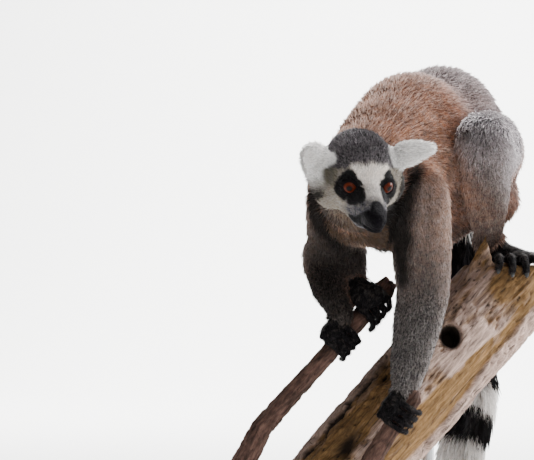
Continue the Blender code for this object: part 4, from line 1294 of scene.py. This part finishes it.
def log_form(where, angle, grain, co):
    u = angle + 5 * lattice(np.column_stack((where, where * 0, where * 0)), 40, 3)
    broad = lattice(grain * (0.45, 0.085, 0.085), 1.0, 51)
    middle = lattice(grain * (0.8, 0.22, 0.22) + 0.5 * broad[:, None], 1.0, 52)
    narrow = lattice(grain * (1.3, 0.5, 0.5) + 0.6 * middle[:, None], 1.0, 56)
    fine = lattice(grain * (2.0, 1.1, 1.1), 1.0, 53)
    widen = ramp(where, 110, 260)
    # the smooth golden groove
    golden = band(u, 31 - 14 * widen, 42 + 20 * widen, 7) * ramp(where, 85, 120)
    # the rough hollow near the top
    shelf = band(u, -14, 40, 12) * fall(where + 10 * middle, 92, 122)
    rot = band(u, -62, -16, 14) * ramp(where, 200, 240)              # rotten layers low on the left
    seam = band(u, -64 + 6 * middle, -60 + 6 * middle, 3) * ramp(where, 190, 215)     # the crack beside them
    # A deep hollow low on the log, sunk in and painted near-black as shade.
    cave = np.exp(-((where - 304) / 16) ** 2 - ((u + 22) / 12) ** 2)
    torn = np.exp(-((where - 210) / 13) ** 2 - ((u - 5) / 10) ** 2)  # a patch of broken fibres
    smooth = band(u, 0, 22, 9) * band(where, 140, 190, 14)           # the polished pink cheek below the knot
    behind = ramp(np.abs(angle), 95, 115) * ramp(middle + broad, 0.0, 0.6)
    rough = (1 - 0.85 * smooth) * (1 - 0.8 * golden)
    sunk = 0.3 + 5.5 * golden + 2.6 * shelf + 3.0 * rot + 3.4 * seam + 8 * cave + 2.0 * torn + 3.0 * behind
    sunk += rough * (3.0 * ramp(broad, -0.2, 0.7) + 2.6 * ramp(middle, 0, 0.7) + 1.7 * ramp(narrow, 0, 0.8))
    sunk += 1.1 * ramp(fine, 0.0, 0.8) * (0.3 + 0.7 * rough)
    top = ramp(co[:, 2], LOG_TOP - 0.006, LOG_TOP - 0.001)
    splinter = ramp(co[:, 2], LOG_TOP, LOG_TOP + 0.003)
    near_splinter = np.exp(-(far(co, SPLINTER_FOOT) / 0.028) ** 2)
    broken = top * (0.5 + 0.8 * ramp(narrow, -0.5, 0.8) + 0.5 * fine) * (1 - 0.3 * splinter)
    sunk = sunk * (1 - top) * (1 - near_splinter) + broken
    away = co - np.array(KNOT_HOLE)
    aim = np.array(KNOT_AIM.normalized())
    flat = away - (away @ aim)[:, None] * aim
    squeezed = flat - KNOT_SQUEEZE * (flat @ KNOT_TALL)[:, None] * KNOT_TALL
    from_knot = np.linalg.norm(squeezed, axis=1) / MM
    depth_in = LOG_RADIUS - np.hypot(grain[:, 1], grain[:, 2])
    # Inside the knot hole the wood takes the near-black of the cracks: painted shade.
    inside = fall(from_knot, 9.5, 12) * ramp(depth_in, 1.5, 5.0)
    mouth = np.exp(-(far(co, (0.050, -0.034, 0.300)) / 0.010) ** 2)
    sunk = (sunk + 3.0 * mouth + 1.6 * band(from_knot, 8, 10, 3)) * (1 - inside)
    hollow = 0.75 * golden + 0.85 * shelf + 0.75 * rot + 0.55 * torn + 0.4 * top + 0.5 * behind
    hollow += 0.35 * ramp(middle, 0, 0.7) + 0.35 * ramp(broad, 0, 0.6) + 0.3 * mouth
    hollow -= 1.1 * smooth + 0.5 * band(u, 52 + 14 * widen, 100, 6)
    hollow -= 0.35 * band(u, -100, -66, 6) * ramp(where, 190, 215)
    cracks_and_shade = 0.9 * seam + inside + cave * 1.1 + rough * 0.7 * ramp(narrow + fine, 0.7, 1.2)
    # Painted shade on the left side of the log, turned from the light; the rough hollow near the top is
    # darkened too.
    cracks_and_shade += 0.35 * ramp(-u, 5, 60) * rough + 0.25 * shelf
    return np.clip(sunk, 0, 12), hollow - 0.10, cracks_and_shade


def stick_form(where, angle, grain, co):
    ridges = lattice(grain * (1, 0.5, 0.5), 1.0, 61)
    fine = lattice(grain * (1.5, 1.3, 1.3), 1.0, 62)
    sunk = 0.8 + 1.0 * ridges + 0.5 * fine
    return np.clip(sunk, 0, 2.4), 0.25 + 0.4 * ridges, 0.7 * ramp(ridges + fine, 0.9, 1.5)


def knot_cutter():
    bm = bmesh.new()
    bmesh.ops.create_cone(bm, cap_ends=True, segments=32, radius1=0.62, radius2=1.0, depth=1.0)
    turn = KNOT_AIM.to_track_quat("Z", "Y").to_matrix().to_4x4()
    bmesh.ops.transform(bm, verts=bm.verts, matrix=Matrix.Translation(KNOT_HOLE) @ turn
                        @ Matrix.Diagonal((*KNOT_OVAL, KNOT_DEPTH, 1)))
    piece = shaped("knot", bm)
    piece.hide_render = True
    return piece


DRIFTWOOD = wood_finish("driftwood", (0.45, 0.32, 0.265), (0.23, 0.130, 0.052), (0.014, 0.008, 0.005), 0.0016)
BARK = wood_finish("bark", (0.060, 0.034, 0.026), (0.13, 0.072, 0.056), (0.010, 0.006, 0.005), 0.0012)
wooden("log", ("perch_log", "perch_splinter"), DRIFTWOOD, 1.5 * MM, LOG, 8, log_form,
       knot_cutter(), splinter_foot)
wooden("branch", ("perch_branch",), BARK, 1.1 * MM, WHOLE_BRANCH, 5, stick_form)
wooden("stake", ("perch_stake",), BARK, 1.0 * MM, WHOLE_STAKE, 5, stick_form)


# ---- The stand ----
# A waxed walnut board and two brushed steel rods, bored into the underside of the log.
def board_finish():
    made, tree, shader = finish("walnut", 0.5, Specular_IOR_Level=0.25, Coat_Weight=0.05)
    figure = noise(tree, on_piece(tree, (60, 5, 60)), 1, 8, distortion=0.6)
    painted(tree, shader, stops_of(tree, figure, ((0.3, (0.035, 0.018, 0.010)), (0.7, (0.12, 0.062, 0.034)))))
    roughen(tree, shader, figure, 0.25, 0.0004)
    return made


def steel_finish():
    made, tree, shader = finish("brushed steel", 0.3, Metallic=1.0, Base_Color=(0.60, 0.60, 0.61, 1))
    lines = noise(tree, on_piece(tree, (200, 200, 6000)), 1)
    tree.links.new(spanned(tree, lines, 0, 1, 0.22, 0.42), shader.inputs["Roughness"])
    return made


def dressed(name, made):
    nodes[name].data.materials.clear()
    nodes[name].data.materials.append(made)


dressed("stand_base", board_finish())
STEEL = steel_finish()
dressed("stand_rod_front", STEEL)
dressed("stand_rod_back", STEEL)


# ---- The studio ----
# A pale floor that sweeps up behind the stand, wide soft lights behind and overhead, a weak one in front.
FLOOR_REACH, FLOOR_SIDE, WALL_AT, WALL_HEIGHT, SWEEP = 4.5, 9.0, 6.0, 5.0, 1.5


def sweep_floor():
    bm = bmesh.new()
    profile = [(-FLOOR_REACH, 0.0), (WALL_AT - SWEEP, 0.0)]
    profile += [(WALL_AT - SWEEP + SWEEP * math.sin(t), SWEEP - SWEEP * math.cos(t))
                for t in np.linspace(0.1, math.pi / 2, 16)]
    profile += [(WALL_AT, WALL_HEIGHT)]
    rows = [[bm.verts.new((x, y, z)) for x in (-FLOOR_SIDE, FLOOR_SIDE)] for y, z in profile]
    for low, high in zip(rows, rows[1:]):
        bm.faces.new((low[0], low[1], high[1], high[0]))
    floor = shaped("floor", bm)
    floor.data.shade_smooth()
    floor.data.materials.append(finish("floor paint", 0.9, Base_Color=(0.86, 0.86, 0.85, 1))[0])


def soft_light(name, place_at, target, size, power):
    light = bpy.data.lights.new(name, "AREA")
    light.shape = "DISK"
    light.size = size
    light.energy = power
    holder = linked(name, light)
    holder.location = place_at
    holder.rotation_euler = (Vector(target) - Vector(place_at)).to_track_quat("-Z", "Y").to_euler()


sweep_floor()
soft_light("sky light", (0.25, 1.1, 2.4), (0, 0, 0.4), 2.0, 200)
soft_light("rim light", (1.7, 1.3, 1.1), (0, 0, 0.4), 1.2, 98)
soft_light("front light", (1.9, -2.3, 1.7), (0, -0.05, 0.4), 0.5, 13)
soft_light("wall light", (-2.0, 3.6, 3.4), (-2.4, 6.0, 0.6), 2.4, 900)
world = bpy.data.worlds.new("studio")
world.use_nodes = True
world.node_tree.nodes["Background"].inputs["Color"].default_value = (1.0, 0.985, 0.97, 1)
world.node_tree.nodes["Background"].inputs["Strength"].default_value = 0.31
bpy.context.scene.world = world
